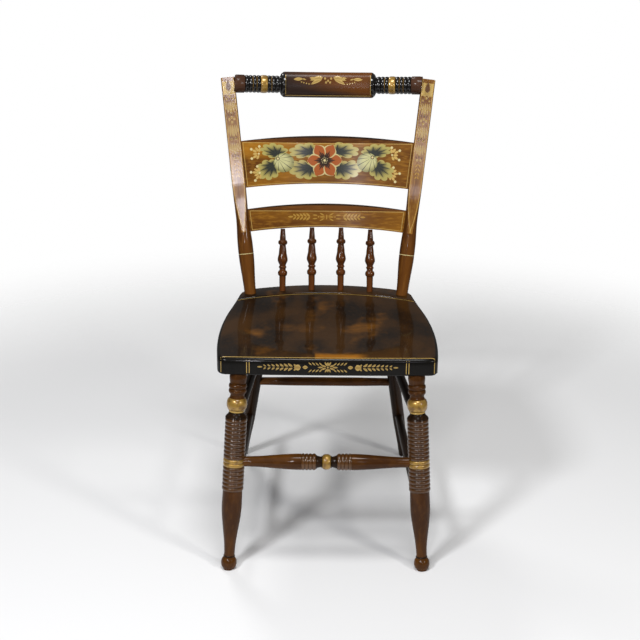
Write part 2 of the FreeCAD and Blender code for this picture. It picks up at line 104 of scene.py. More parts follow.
class Finish(Enum):
    """The paints and metals that the chair is finished in."""

    JET = "jet_paint"
    BLACK = "black_lacquer"
    DARK = "dark_lacquer"
    BROWN = "brown_lacquer"
    RINGED = "ringed_paint"
    RED_BROWN = "red_brown_lacquer"
    AMBER = "amber_graining"
    POST = "post_graining"
    FLAT = "flat_graining"
    CREST = "crest_graining"
    CREST_END = "crest_end_lacquer"
    SEAT = "seat_graining"
    GILT = "gilding"
    LINE = "gold_line"
    POWDER = "gold_powder"
    LEAF = "leaf_powder"
    MELON = "melon_powder"
    PETAL = "petal_powder"
    UMBER = "umber"
    SHADE = "shade_paint"
    CREAM = "cream_paint"
    FAINT = "faint_powder"


def operator(operation: str, swapped: bool = False) -> Callable[["Field", "Number"], "Field"]:
    """Makes an overloaded operator of fields.

    Args:
        operation: the shader's name for it.
        swapped: whether the field stands on its right, as in 1.0 - field.

    Returns:
        The method of the operator.
    """

    def apply(field: "Field", other: "Number") -> "Field":
        """Puts the operator's node into the field's graph."""
        return field.graph.maths(operation, *((other, field) if swapped else (field, other)))

    return apply


@dataclass(frozen=True, eq=False)
class Field:
    """A number that a material works out at each point, with sums written as sums."""

    graph: "Graph"
    socket: Socket

    __add__, __radd__ = operator("ADD"), operator("ADD", True)
    __sub__, __rsub__ = operator("SUBTRACT"), operator("SUBTRACT", True)
    __mul__, __rmul__ = operator("MULTIPLY"), operator("MULTIPLY", True)
    __truediv__, __rtruediv__ = operator("DIVIDE"), operator("DIVIDE", True)

    def __abs__(self) -> "Field":
        """The field without its sign."""
        return self.graph.maths("ABSOLUTE", self)

    def ping_pong(self, scale: float) -> "Field":
        """The field folded back and forth between zero and a scale."""
        return self.graph.maths("PINGPONG", self, scale)

    def ramp(self, low: float, high: float) -> "Field":
        """A smooth rise from 0 to 1 between two values of the field, or a fall where low is above high.

        Args:
            low: value where it starts.
            high: value where it ends.

        Returns:
            The eased field.
        """
        inputs = {"Value": self, "From Min": low, "From Max": high}
        made = self.graph.node("MapRange", inputs, interpolation_type="SMOOTHSTEP")
        return Field(self.graph, made.outputs[0])


Number = Union[Field, float]


class Graph:
    """The node tree of a material or world, written as sums instead of as single nodes."""

    def __init__(self, owner: Union[bpy.types.Material, bpy.types.World]) -> None:
        """Empties the node tree of its owner.

        Args:
            owner: a new material or world.
        """
        owner.use_nodes = True
        self.owner = owner
        self.tree = owner.node_tree
        self.tree.nodes.clear()

    def node(self, kind: str, inputs: Optional[Inputs] = None, **settings: object) -> bpy.types.Node:
        """Adds one node.

        Args:
            kind: the end of the node's type name.
            inputs: a value, field or socket for each input, by name or number.
            settings: its properties by name.

        Returns:
            The node.
        """
        made = self.tree.nodes.new("ShaderNode" + kind)
        for name, value in settings.items():
            setattr(made, name, value)
        for key, value in (inputs or {}).items():
            if isinstance(value, Field):
                value = value.socket
            if isinstance(value, Socket):
                self.tree.links.new(value, made.inputs[key])
            else:
                made.inputs[key].default_value = value
        return made

    def maths(self, operation: str, *values: Number) -> Field:
        """One step of arithmetic on fields and numbers."""
        return Field(self, self.node("Math", dict(enumerate(values)), operation=operation).outputs[0])

    def attribute(self, name: str) -> Socket:
        """A vector that the piece's mesh carries at each point."""
        return self.node("Attribute", attribute_name=name).outputs["Vector"]

    def parts(self, vector: Socket) -> tuple[Field, Field, Field]:
        """The three numbers of a vector."""
        return tuple(Field(self, socket) for socket in self.node("SeparateXYZ", {0: vector}).outputs)

    def stretched(self, vector: Socket, scale: Row) -> Socket:
        """A vector multiplied along each axis."""
        return self.node("VectorMath", {0: vector, 1: scale}, operation="MULTIPLY").outputs[0]

    def noise(self, vector: Socket, scale: float, detail: float = 3.0) -> Field:
        """Cloudy noise from about 0 to 1, with a number of finer layers and a scale per metre."""
        inputs = {"Vector": vector, "Scale": scale, "Detail": detail}
        return Field(self, self.node("TexNoise", inputs).outputs[0])

    def mix(self, share: Number, first: object, second: object) -> Socket:
        """A colour between two others."""
        colours = [tuple(c) + (1.0,) if isinstance(c, tuple) else c for c in (first, second)]
        return self.node("Mix", {0: share, 6: colours[0], 7: colours[1]}, data_type="RGBA").outputs[2]

    def bump(self, height: Field, strength: float, distance: float) -> Socket:
        """A normal roughened by a height field."""
        return self.node("Bump", {"Strength": strength, "Distance": distance, "Height": height}).outputs[0]

    def finish(self, inputs: Inputs) -> bpy.types.Material:
        """Closes the material with one Principled surface."""
        self.node("OutputMaterial", {"Surface": self.node("BsdfPrincipled", inputs).outputs[0]})
        return self.owner


@dataclass(frozen=True)
class Lacquer:
    """Grained paint under clear varnish: streaks along the grain, clouds and fine flecks."""

    deep: Colour
    light: Colour
    streak: Colour
    cloud_scale: float = 22.0
    stretch: Row = (1.0, 1.0, 0.12)
    low: float = 0.35
    high: float = 0.68
    coat: float = 0.32
    coat_roughness: float = 0.07
    ripple: float = 0.10
    streaks: float = 0.45
    roughness: float = 0.38
    specular: float = 0.05
    fineness: float = 14.0

    def clouds(self, graph: Graph, grain: Socket) -> Field:
        """Soft clouds drawn out along the grain."""
        return graph.noise(graph.stretched(grain, self.stretch), self.cloud_scale, 4.0)

    def fibres(self, graph: Graph, grain: Socket) -> Field:
        """Fine streaks along the grain, as strong as this paint has them."""
        fine = graph.noise(graph.stretched(grain, self.stretch), self.cloud_scale * self.fineness, 2.0)
        return fine.ramp(0.45, 0.75) * self.streaks

    def colour(self, graph: Graph, grain: Socket) -> Socket:
        """The paint's colour at each point.

        Args:
            graph: the material's node tree.
            grain: coordinates whose Z runs along the grain.

        Returns:
            The colour's socket.
        """
        share = self.clouds(graph, grain).ramp(self.low, self.high)
        return graph.mix(self.fibres(graph, grain), graph.mix(share, self.deep, self.light), self.streak)

    def surface(self, graph: Graph) -> Inputs:
        """Inputs of the Principled shader for this paint.

        Args:
            graph: the material's node tree.

        Returns:
            The inputs by name.
        """
        grain = graph.attribute("grain")
        wear = graph.noise(grain, 60.0)
        ripple = graph.noise(graph.stretched(grain, (1.0, 1.0, 0.3)), 160.0, 2.0)
        return {
            "Base Color": self.colour(graph, grain),
            "Roughness": self.roughness + wear * 0.12,
            "Specular IOR Level": self.specular,
            "Coat Weight": self.coat,
            "Coat Roughness": self.coat_roughness,
            "Normal": graph.bump(ripple, self.ripple, 0.0006),
        }


@dataclass(frozen=True)
class ShadedCrestLacquer(Lacquer):
    """The pillow's graining, with painted light and shade: amber above and to the right, dark below and to
    the left.
    """

    def colour(self, graph: Graph, grain: Socket) -> Socket:
        """The graining's colour, with painted light and shade by height and by the distance along the pillow.

        Args:
            graph: the material's node tree.
            grain: coordinates with the height first and the distance along the pillow last.

        Returns:
            The colour's socket.
        """
        height, _, along = graph.parts(grain)
        # Painted light and shade: lighter towards the top and the right of the pillow, darker below and to
        # the left.
        share = (height * 9.0 + along * 4.5 + self.clouds(graph, grain)).ramp(self.low, self.high)
        body = graph.mix(share, self.deep, self.light)
        return graph.mix(self.fibres(graph, grain) * share, body, self.streak)


@dataclass(frozen=True)
class SeatLacquer(Lacquer):
    """The seat's worn graining, with a bare amber patch in front of the middle."""

    amber: Colour = (0.30, 0.112, 0.0080)

    def colour(self, graph: Graph, grain: Socket) -> Socket:
        """The graining's colour, in the chair's own coordinates.

        Args:
            graph: the material's node tree.
            grain: the chair's coordinates.

        Returns:
            The colour's socket.
        """
        x, y, _ = graph.parts(grain)
        broken = graph.noise(graph.stretched(grain, (1.0, 2.2, 1.0)), 38.0, 4.0)
        sides = x.ramp(-0.027, -0.023) * x.ramp(0.086, 0.050)
        patch = sides * (y + broken * 0.022).ramp(-0.190, -0.208)
        rubbed = graph.noise(graph.stretched(grain, (1.0, 0.7, 1.0)), 13.0).ramp(0.56, 0.74)
        flecked = patch * (0.45 + broken * 0.75) + rubbed * broken * 0.55
        return graph.mix(flecked, super().colour(graph, grain), self.amber)


class Marks(Enum):
    """Dark marks drawn inside a stencilled shape."""

    NONE = "none"
    RIBS = "ribs"
    VEINS = "veins"


@dataclass(frozen=True)
class Powder:
    """Bronze powder rubbed through a stencil: bright at the rim of a shape, thin towards its heart."""

    rim: Colour
    heart: Colour
    full: float = 1.0
    fade: float = 0.0
    metallic: float = 0.0
    marks: Marks = Marks.NONE
    mark_colour: Colour = (0.013, 0.014, 0.011)

    def mark(self, along: Field, across: Field) -> Field:
        """Where the marks lie: on the notches between ribs, or up the middle of each lobe.

        Args:
            along: place along the shape, counted in lobes.
            across: share of the way from the eye to the rim.

        Returns:
            1 in the marks and 0 beside them.
        """
        fold = along.ping_pong(0.5)
        if self.marks is Marks.RIBS:
            return fold.ramp(0.085, 0.035)
        return fold.ramp(0.36, 0.46) * across.ramp(0.86, 0.62)

    def surface(self, graph: Graph) -> Inputs:
        """Inputs of the Principled shader for this powder.

        Args:
            graph: the material's node tree.

        Returns:
            The inputs by name.
        """
        along, across, _ = graph.parts(graph.attribute("stroke"))
        speckle = graph.noise(graph.attribute("grain"), 700.0, 2.0)
        rim = abs(across).ramp(self.fade, self.full)
        body = graph.mix(rim + (speckle - 0.5) * 0.45, self.heart, self.rim)
        if self.marks is not Marks.NONE:
            body = graph.mix(self.mark(along, across), body, self.mark_colour)
        return {
            "Base Color": body,
            "Roughness": 0.42 + speckle * 0.15,
            "Specular IOR Level": 0.2,
            "Metallic": self.metallic,
            "Coat Weight": 0.35,
            "Coat Roughness": 0.12,
        }


@dataclass(frozen=True)
class Gilding:
    """Worn gold paint on turned rings."""

    fresh: Colour = (0.37, 0.215, 0.036)
    worn: Colour = (0.17, 0.085, 0.012)

    def surface(self, graph: Graph) -> Inputs:
        """Inputs of the Principled shader for this gilding.

        Args:
            graph: the material's node tree.

        Returns:
            The inputs by name.
        """
        worn = graph.noise(graph.attribute("grain"), 120.0, 4.0).ramp(0.40, 0.70)
        return {
            "Base Color": graph.mix(worn, self.fresh, self.worn),
            "Metallic": 0.45,
            "Roughness": 0.32 + worn * 0.2,
            "Coat Weight": 0.6,
            "Coat Roughness": 0.08,
        }


GOLD = (0.50, 0.330, 0.090)
SHADOW = (0.026, 0.012, 0.006)
SURFACES = {
    Finish.JET: Lacquer((0.0030, 0.0026, 0.0024), (0.0056, 0.0046, 0.0040), (0.0082, 0.0061, 0.0048),
                        coat=0.9, coat_roughness=0.12, ripple=0.0),
    Finish.BLACK: Lacquer((0.0030, 0.0026, 0.0021), (0.0056, 0.0046, 0.0035), (0.0082, 0.0061, 0.0041),
                          coat=0.27, ripple=0.03),
    Finish.DARK: Lacquer((0.0075, 0.0036, 0.0014), (0.0300, 0.0120, 0.0036), (0.0420, 0.0170, 0.0050), 14.0,
                         coat=0.17),
    Finish.BROWN: Lacquer((0.0400, 0.0130, 0.0020), (0.1480, 0.0520, 0.0055), (0.1600, 0.0620, 0.0080), 11.0,
                          (1.0, 1.0, 0.45), 0.36, 0.72, coat=0.26, coat_roughness=0.06, streaks=0.18),
    Finish.RINGED: Lacquer((0.0420, 0.0150, 0.0026), (0.1300, 0.0500, 0.0080), (0.1500, 0.0620, 0.0110), 11.0,
                           coat=0.95, coat_roughness=0.12, streaks=0.18),
    Finish.RED_BROWN: Lacquer((0.0224, 0.0062, 0.0015), (0.1075, 0.0304, 0.0050), (0.1462, 0.0517, 0.0099)),
    Finish.AMBER: Lacquer((0.092, 0.0290, 0.0030), (0.310, 0.128, 0.0095), (0.400, 0.185, 0.0200), 16.0,
                          coat_roughness=0.20),
    Finish.POST: Lacquer((0.0413, 0.0118, 0.0020), (0.1290, 0.0441, 0.0058), (0.1892, 0.0745, 0.0121), 18.0,
                         coat=0.26, ripple=0.03),
    Finish.FLAT: Lacquer((0.125, 0.044, 0.0060), (0.330, 0.155, 0.0230), (0.420, 0.225, 0.0420), 26.0,
                         coat=0.50, coat_roughness=0.11, ripple=0.012),
    Finish.CREST: ShadedCrestLacquer((0.0240, 0.0140, 0.0105), (0.105, 0.034, 0.0055), (0.125, 0.046, 0.0080), 14.0,
                               low=0.25, high=0.85, coat=0.20, coat_roughness=0.22, ripple=0.01,
                               streaks=0.35),
    Finish.CREST_END: Lacquer((0.027, 0.0120, 0.0070), (0.060, 0.026, 0.0140), (0.078, 0.036, 0.0190),
                              coat=0.2, coat_roughness=0.16, ripple=0.01),
    Finish.SEAT: SeatLacquer((0.0075, 0.0038, 0.0016), (0.0370, 0.0155, 0.0030), (0.0500, 0.0220, 0.0042),
                             11.0, (1.0, 0.6, 1.0), 0.35, 0.64, 0.42, 0.05, 0.05, 0.2),
    Finish.GILT: Gilding(),
    Finish.LINE: Powder(GOLD, GOLD, metallic=0.15),
    Finish.POWDER: Powder((0.47, 0.32, 0.095), (0.28, 0.175, 0.045), 0.9, metallic=0.15),
    Finish.FAINT: Powder((0.44, 0.255, 0.036), (0.33, 0.175, 0.022), 0.9, metallic=0.15),
    Finish.LEAF: Powder((0.38, 0.315, 0.085), (0.018, 0.022, 0.018), 0.90, 0.36, marks=Marks.VEINS),
    Finish.MELON: Powder((0.22, 0.205, 0.068), (0.50, 0.475, 0.225), 1.0, 0.50, marks=Marks.RIBS),
    Finish.PETAL: Powder((0.52, 0.44, 0.20), (0.32, 0.072, 0.009), 0.86, 0.74),
    Finish.SHADE: Powder(SHADOW, SHADOW),
    Finish.UMBER: Powder((0.120, 0.048, 0.010), (0.085, 0.034, 0.008)),
    Finish.CREAM: Powder((0.56, 0.46, 0.20), (0.62, 0.53, 0.26)),
}


class Paints(dict):
    """The material of each finish, made on first use."""

    def __missing__(self, finish: Finish) -> bpy.types.Material:
        """Makes a finish's material.

        Args:
            finish: the finish.

        Returns:
            Its material.
        """
        graph = Graph(bpy.data.materials.new(finish.value))
        self[finish] = graph.finish(SURFACES[finish].surface(graph))
        return self[finish]


# Meshes


def smooth_between(start: float, end: float, share: float) -> float:
    """A value that eases from one number to another as the share goes from 0 to 1."""
    share = min(1.0, max(0.0, share))
    return start + (end - start) * share * share * (3.0 - 2.0 * share)


def through(points: Sequence[Row], place: float) -> float:
    """Height, at a place, of a line through points given in order of place.

    Args:
        points: places and heights.
        place: where to read it.

    Returns:
        The height there.
    """
    for (start, low), (end, high) in zip(points, points[1:]):
        if place <= end:
            return low + (high - low) * (place - start) / (end - start)
    return points[-1][1]


def frame_of(origin: Vector, across: Vector, back: Vector, up: Vector) -> Matrix:
    """Matrix that carries local axes to three directions at an origin given in millimetres."""
    return Matrix.Translation(origin * MM) @ Matrix((across, back, up)).transposed().to_4x4()


def along_frame(start: Vector, end: Vector) -> Matrix:
    """Frame whose Z runs from one point towards another."""
    return Matrix.Translation(start * MM) @ UP.rotation_difference(end - start).to_matrix().to_4x4()


def new_mesh() -> Mesh:
    """An empty mesh with the two layers that the finishes read.

    Returns:
        The mesh.
    """
    mesh = bmesh.new()
    for name in ("grain", "stroke"):
        mesh.verts.layers.float_vector.new(name)
    return mesh


def only(items: Iterable[object], kind: type) -> list[object]:
    """The items of one kind."""
    return [item for item in items if isinstance(item, kind)]


def spun(rows: Sequence[Row], steps: int) -> Mesh:
    """A closed turning about the Z axis.

    Args:
        rows: places and radii, from pole to pole.
        steps: facets round it.

    Returns:
        Its mesh.
    """
    mesh = new_mesh()
    verts = [mesh.verts.new((radius, 0.0, place)) for place, radius in rows]
    edges = [mesh.edges.new(pair) for pair in zip(verts, verts[1:])]
    bmesh.ops.spin(mesh, geom=verts + edges, axis=UP, cent=ORIGIN, angle=math.tau, steps=steps,
                   use_merge=True)
    bmesh.ops.remove_doubles(mesh, verts=mesh.verts, dist=WELD)
    bmesh.ops.recalc_face_normals(mesh, faces=mesh.faces)
    return mesh


def ring(mesh: Mesh, points: Iterable[Row]) -> tuple[list[bmesh.types.BMVert], list[bmesh.types.BMEdge]]:
    """Adds a closed ring of points and edges to a mesh."""
    verts = [mesh.verts.new(point) for point in points]
    return verts, [mesh.edges.new(pair) for pair in zip(verts, verts[1:] + verts[:1])]


def cut_at_floor(mesh: Mesh) -> None:
    """Cuts a mesh off level at the floor and closes it there.

    Args:
        mesh: a closed mesh in the chair's frame.
    """
    geometry = list(mesh.verts) + list(mesh.edges) + list(mesh.faces)
    cut = bmesh.ops.bisect_plane(mesh, geom=geometry, plane_co=ORIGIN, plane_no=UP, clear_inner=True)
    bmesh.ops.contextual_create(mesh, geom=only(cut["geom_cut"], bmesh.types.BMEdge))


def linked(name: str, data: bpy.types.ID) -> bpy.types.Object:
    """A new object of the scene.

    Args:
        name: its name.
        data: what it shows.

    Returns:
        The object.
    """
    made = bpy.data.objects.new(name, data)
    bpy.context.scene.collection.objects.link(made)
    return made


class Outline:
    """The outline of a turning, drawn from one end to the other, in millimetres."""

    def __init__(self, place: float, radius: float) -> None:
        """Starts at a place and radius."""
        self.rows: list[Row] = [(place, radius)]
        self.bands: list[tuple[float, float, Finish]] = []

    @property
    def place(self) -> float:
        """How far along the outline has come."""
        return self.rows[-1][0]

    def to(self, place: float, radius: float) -> "Outline":
        """A straight run to a place and radius."""
        self.rows.append((place, radius))
        return self

    def step(self, radius: float) -> "Outline":
        """A sharp shoulder to another radius."""
        return self.to(self.place + 0.02, radius)

    def curve(self, points: Iterable[Row], rows_each: int = 7) -> "Outline":
        """An eased run through places and radii.

        Args:
            points: the places and radii that it passes.
            rows_each: rows drawn between one point and the next.

        Returns:
            This outline.
        """
        for place, radius in points:
            start, first = self.rows[-1]
            for index in range(1, rows_each + 1):
                share = index / rows_each
                self.to(start + (place - start) * share, smooth_between(first, radius, share))
        return self

    def bead(self, length: float, root: float, crest: float, finish: Optional[Finish] = None) -> "Outline":
        """A rounded bead standing on a smaller root.

        Args:
            length: its length along the turning.
            root: radius at its two ends.
            crest: radius at its middle.
            finish: the paint on it, where it isn't the piece's own.

        Returns:
            This outline.
        """
        start, rows = self.place, 8
        for index in range(rows + 1):
            turn = math.pi * index / rows
            place = start + length * (1.0 - math.cos(turn)) / 2.0
            self.to(max(place, start + 0.01), root + (crest - root) * math.sin(turn))
        return self.paint(start, start + length, finish) if finish else self

    def beads(self, count: int, length: float, root: float, crest: float) -> "Outline":
        """A run of beads touching each other.

        Args:
            count: how many.
            length: length of each along the turning.
            root: radius between them.
            crest: radius at their middles.

        Returns:
            This outline.
        """
        for _ in range(count):
            self.bead(length, root, crest)
        return self

    def paint(self, low: float, high: float, finish: Finish) -> "Outline":
        """Another paint on part of the turning, under the bands painted before."""
        self.bands.append((low, high, finish))
        return self

    def finish_at(self, place: float, own: Finish) -> Finish:
        """The paint at a place."""
        return next((finish for low, high, finish in self.bands if low <= place <= high), own)


class Piece:
    """One visible piece: a mesh in the making, its finishes and what it stands for."""

    def __init__(self, name: str, slot: Slot, paints: Paints) -> None:
        """Starts an empty piece.

        Args:
            name: its object's name.
            slot: a paint slot; it is kept on the piece but not used.
            paints: the materials of the finishes.
        """
        self.name, self.slot, self.paints = name, slot, paints
        self.mesh = new_mesh()
        self.finishes: list[Finish] = []

    def index_of(self, finish: Finish) -> int:
        """Number of the material slot of a finish.

        Args:
            finish: the finish.

        Returns:
            The number, a new one where the piece had none.
        """
        if finish not in self.finishes:
            self.finishes.append(finish)
        return self.finishes.index(finish)

    def paint(self, mesh: Mesh, finish_at: Callable[[Vector], Finish]) -> None:
        """Gives each face of a mesh the finish of its centre."""
        for face in mesh.faces:
            face.material_index = self.index_of(finish_at(face.calc_center_median()))

    def take(self, other: Mesh) -> None:
        """Moves another mesh, with its layers, into the piece.

        Args:
            other: the mesh, which is freed.
        """
        holder = bpy.data.meshes.new("holder")
        other.to_mesh(holder)
        other.free()
        self.mesh.from_mesh(holder)
        bpy.data.meshes.remove(holder)

    def settle(self, other: Mesh, frame: Matrix = IN_PLACE,
               grain: Callable[[Vector], Vector] = Vector) -> None:
        """Moves a mesh drawn in millimetres into the piece.

        Args:
            other: the mesh.
            frame: carries its axes to the chair's, in metres.
            grain: what the paint reads at a point of it, also in millimetres.
        """
        layer = other.verts.layers.float_vector["grain"]
        for vert in other.verts:
            vert[layer] = grain(vert.co) * MM
            vert.co = frame @ (vert.co * MM)
        self.take(other)

    def turn(self, outline: Outline, own: Finish, frame: Matrix, steps: int = 64,
             shape: Callable[[Vector], Vector] = Vector) -> None:
        """Adds a turning.

        Args:
            outline: its outline up the local Z axis, in millimetres.
            own: the paint where the outline names no other.
            frame: carries the local axes to the chair's, in metres.
            steps: facets round it.
            shape: carries each local point to its place, for flats shaved on a turning.
        """
        turned = spun([(outline.rows[0][0], 0.0), *outline.rows, (outline.place, 0.0)], steps)
        self.paint(turned, lambda centre: outline.finish_at(centre.z, own))
        for vert in turned.verts:
            vert.co = shape(vert.co)
        self.settle(turned, frame)

    def done(self, replaces: Sequence[str] = (), sharpest: float = 50.0) -> None:
        """Turns the piece into an object that rides on the chair.

        Args:
            replaces: the frame's nodes that it stands for.
            sharpest: angle in degrees from which edges stay sharp.
        """
        for face in self.mesh.faces:
            face.smooth = True
        for edge in self.mesh.edges:
            edge.smooth = edge.calc_face_angle(0.0) < math.radians(sharpest)
        data = bpy.data.meshes.new(self.name)
        self.mesh.to_mesh(data)
        self.mesh.free()
        for finish in self.finishes:
            data.materials.append(self.paints[finish])
        made = linked(self.name, data)
        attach(made, "root")
        if replaces:
            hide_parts(*replaces)
        log.info("%s: %d faces", self.name, len(data.polygons))


# Ornament


@dataclass(frozen=True)
class Film:
    """One film of paint: its cells along and across, its points, and what its paint reads there."""

    along: int
    across: int
    point: Callable[[float, float], Point]
    marks: Callable[[float, float], Row] = lambda u, v: (u, v * 2.0 - 1.0, 0.0)


def reached(x: float, y: float, heading: float, along: float, across: float = 0.0) -> Point:
    """The point some way from a place along a heading, in degrees, and some way to its left."""
    c, s = math.cos(math.radians(heading)), math.sin(math.radians(heading))
    return (x + along * c - across * s, y + along * s + across * c)


@dataclass(frozen=True)
class Stroke:
    """One shape cut in a stencil: it lies along a spine and swells between two ends.

    Places and lengths are in millimetres on the painted face, headings in degrees from its X.
    """

    x: float
    y: float
    heading: float
    length: float
    width: float
    bend: float = 0.0
    belly: float = 0.5
    tip: float = 0.85
    root: float = 0.75
    finish: Finish = Finish.POWDER
    lift: float = 0.12

    def width_at(self, share: float) -> float:
        """Half width at a share of the length, widest at the belly.

        Args:
            share: from 0 at the root to 1 at the tip.

        Returns:
            The half width in millimetres.
        """
        if share < self.belly:
            rise, power = share / self.belly, self.root
        else:
            rise, power = (1.0 - share) / (1.0 - self.belly), self.tip
        return self.width / 2.0 * math.sin(math.pi / 2.0 * max(0.0, rise)) ** power

    def point(self, along: float, across: float) -> Point:
        """The point at a share of the spine and, to its left, a share of the half width."""
        sway = self.bend * math.sin(math.pi * along) + self.width_at(along) * across
        return reached(self.x, self.y, self.heading, self.length * along, sway)

    def films(self) -> list[Film]:
        """The stroke's one film."""
        return [Film(max(6, round(self.length / 2.5)), 4, lambda u, v: self.point(u, v * 2.0 - 1.0))]


@dataclass(frozen=True)
class Rosette:
    """A lobed leaf or fruit: its veins or ribs spread from an eye to a scalloped rim.

    The eye's place is in shares of the half width and half height, from the middle.
    """

    x: float
    y: float
    half_width: float
    half_height: float
    lobes: int = 7
    depth: float = 0.22
    heading: float = 0.0
    eye: Point = (0.0, 0.0)
    finish: Finish = Finish.LEAF
    lift: float = 0.06

    def point(self, turn: float, out: float) -> Point:
        """A point of the leaf at a share of a full turn and a share of the way out.

        Args:
            turn: share of a full turn.
            out: share of the way from the eye to the rim.

        Returns:
            The point on the painted face.
        """
        angle = math.tau * turn
        scallop = 1.0 - self.depth * (1.0 - abs(math.sin(angle * self.lobes / 2.0)) ** 0.6)
        x = self.half_width * (self.eye[0] + (scallop * math.cos(angle) - self.eye[0]) * out)
        y = self.half_height * (self.eye[1] + (scallop * math.sin(angle) - self.eye[1]) * out)
        return reached(self.x, self.y, self.heading, x, y)

    def films(self) -> list[Film]:
        """The leaf's one film."""
        return [Film(self.lobes * 8, 8, self.point, lambda u, v: (u * self.lobes, v, 0.0))]


@dataclass(frozen=True)
class Line:
    """A painted line of even width through points."""

    points: tuple[Point, ...]
    width: float = 1.3
    finish: Finish = Finish.LINE
    lift: float = 0.10

    def film(self, start: Vector, end: Vector) -> Film:
        """The film of one run, half a width longer at both ends.

        Args:
            start: where the run starts.
            end: where it ends.

        Returns:
            Its film.
        """
        run = end - start
        side = Vector((-run.y, run.x)).normalized() * self.width / 2.0
        reach = run.normalized() * self.width / 2.0
        return Film(max(2, round(run.length / 4.0)), 1,
                    lambda u, v: start - reach + (run + reach * 2.0) * u + side * (v * 2.0 - 1.0))

    def films(self) -> list[Film]:
        """The films of all its runs."""
        return [self.film(Vector(start), Vector(end)) for start, end in zip(self.points, self.points[1:])]


Shape = Union[Stroke, Rosette, Line]


@dataclass(frozen=True)
class Painter:
    """Lays ornament on a finished face as thin films of paint."""

    piece: Piece
    tree: BVHTree
    place: Callable[[float, float], Vector]
    heading: Vector
    thickness: float = 0.05

    def land(self, point: Point, lift: float) -> Optional[Vector]:
        """Where a point of the drawing meets the face, a lift in millimetres proud of it.

        Args:
            point: the point, in the drawing's own coordinates.
            lift: how far proud of the face, in millimetres.

        Returns:
            The place in metres, or None where the drawing runs past the face.
        """
        hit, normal, _, _ = self.tree.ray_cast(self.place(*point), self.heading)
        if hit is None:
            return None
        return hit + (-normal if normal.dot(self.heading) > 0.0 else normal) * lift * MM

    def lay(self, film: Film, finish: Finish, lift: float) -> None:
        """Adds one film.

        Args:
            film: its cells and points.
            finish: its paint.
            lift: how far it stands off the face, in millimetres.
        """
        mesh = new_mesh()
        grain, marks = (mesh.verts.layers.float_vector[name] for name in ("grain", "stroke"))
        bmesh.ops.create_grid(mesh, x_segments=film.along, y_segments=film.across, size=0.5)
        lost = []
        for vert in mesh.verts:
            u, v = vert.co.x + 0.5, vert.co.y + 0.5
            spot = film.point(u, v)
            vert[marks] = film.marks(u, v)
            vert[grain] = Vector((*spot, 0.0)) * MM
            landed = self.land(spot, lift)
            if landed is None:
                lost.append(vert)
            else:
                vert.co = landed
        bmesh.ops.delete(mesh, geom=lost, context="VERTS")
        bmesh.ops.remove_doubles(mesh, verts=mesh.verts, dist=FILM_WELD)
        if mesh.faces:
            raised = bmesh.ops.extrude_face_region(mesh, geom=mesh.faces[:])["geom"]
            top = only(raised, bmesh.types.BMVert)
            bmesh.ops.translate(mesh, verts=top, vec=self.heading * -self.thickness * MM)
            bmesh.ops.recalc_face_normals(mesh, faces=mesh.faces)
            self.piece.paint(mesh, lambda _: finish)
        self.piece.take(mesh)

    def paint(self, shapes: Iterable[Shape]) -> None:
        """Lays the shapes of a drawing in order.

        Args:
            shapes: strokes, rosettes and lines.
        """
        for shape in shapes:
            for film in shape.films():
                self.lay(film, shape.finish, shape.lift)


def berry(x: float, y: float, radius: float, finish: Finish = Finish.POWDER, lift: float = 0.12) -> Stroke:
    """A round dot."""
    return Stroke(x - radius, y, 0.0, radius * 2.0, radius * 2.0, tip=0.5, root=0.5, finish=finish, lift=lift)


def berries(y: float, rows: Iterable[Row]) -> list[Stroke]:
    """Dots from rows of X, height above Y and radius."""
    return [berry(x, y + up, radius) for x, up, radius in rows]


def strokes(y: float, rows: Iterable[Row], finish: Finish = Finish.POWDER) -> list[Stroke]:
    """Strokes from rows of X, height above Y and the other numbers of a stroke."""
    return [Stroke(x, y + up, *rest, finish=finish) for x, up, *rest in rows]


def mirrored(half: Iterable[Stroke]) -> list[Stroke]:
    """Strokes of one side, each with its twin across the middle.

    Args:
        half: the strokes of one side.

    Returns:
        Each stroke, followed by its twin.
    """
    both = []
    for stroke in half:
        both += [stroke, replace(stroke, x=-stroke.x, heading=180.0 - stroke.heading, bend=-stroke.bend)]
    return both


# The chair


class Legs(Enum):
    """The two pairs of legs, with the places of a right leg's axis under the seat and on the floor."""

    FRONT = ((175.0, -215.4), (195.8, -274.8))
    REAR = ((128.5, 102.1), (188.8, 257.3))


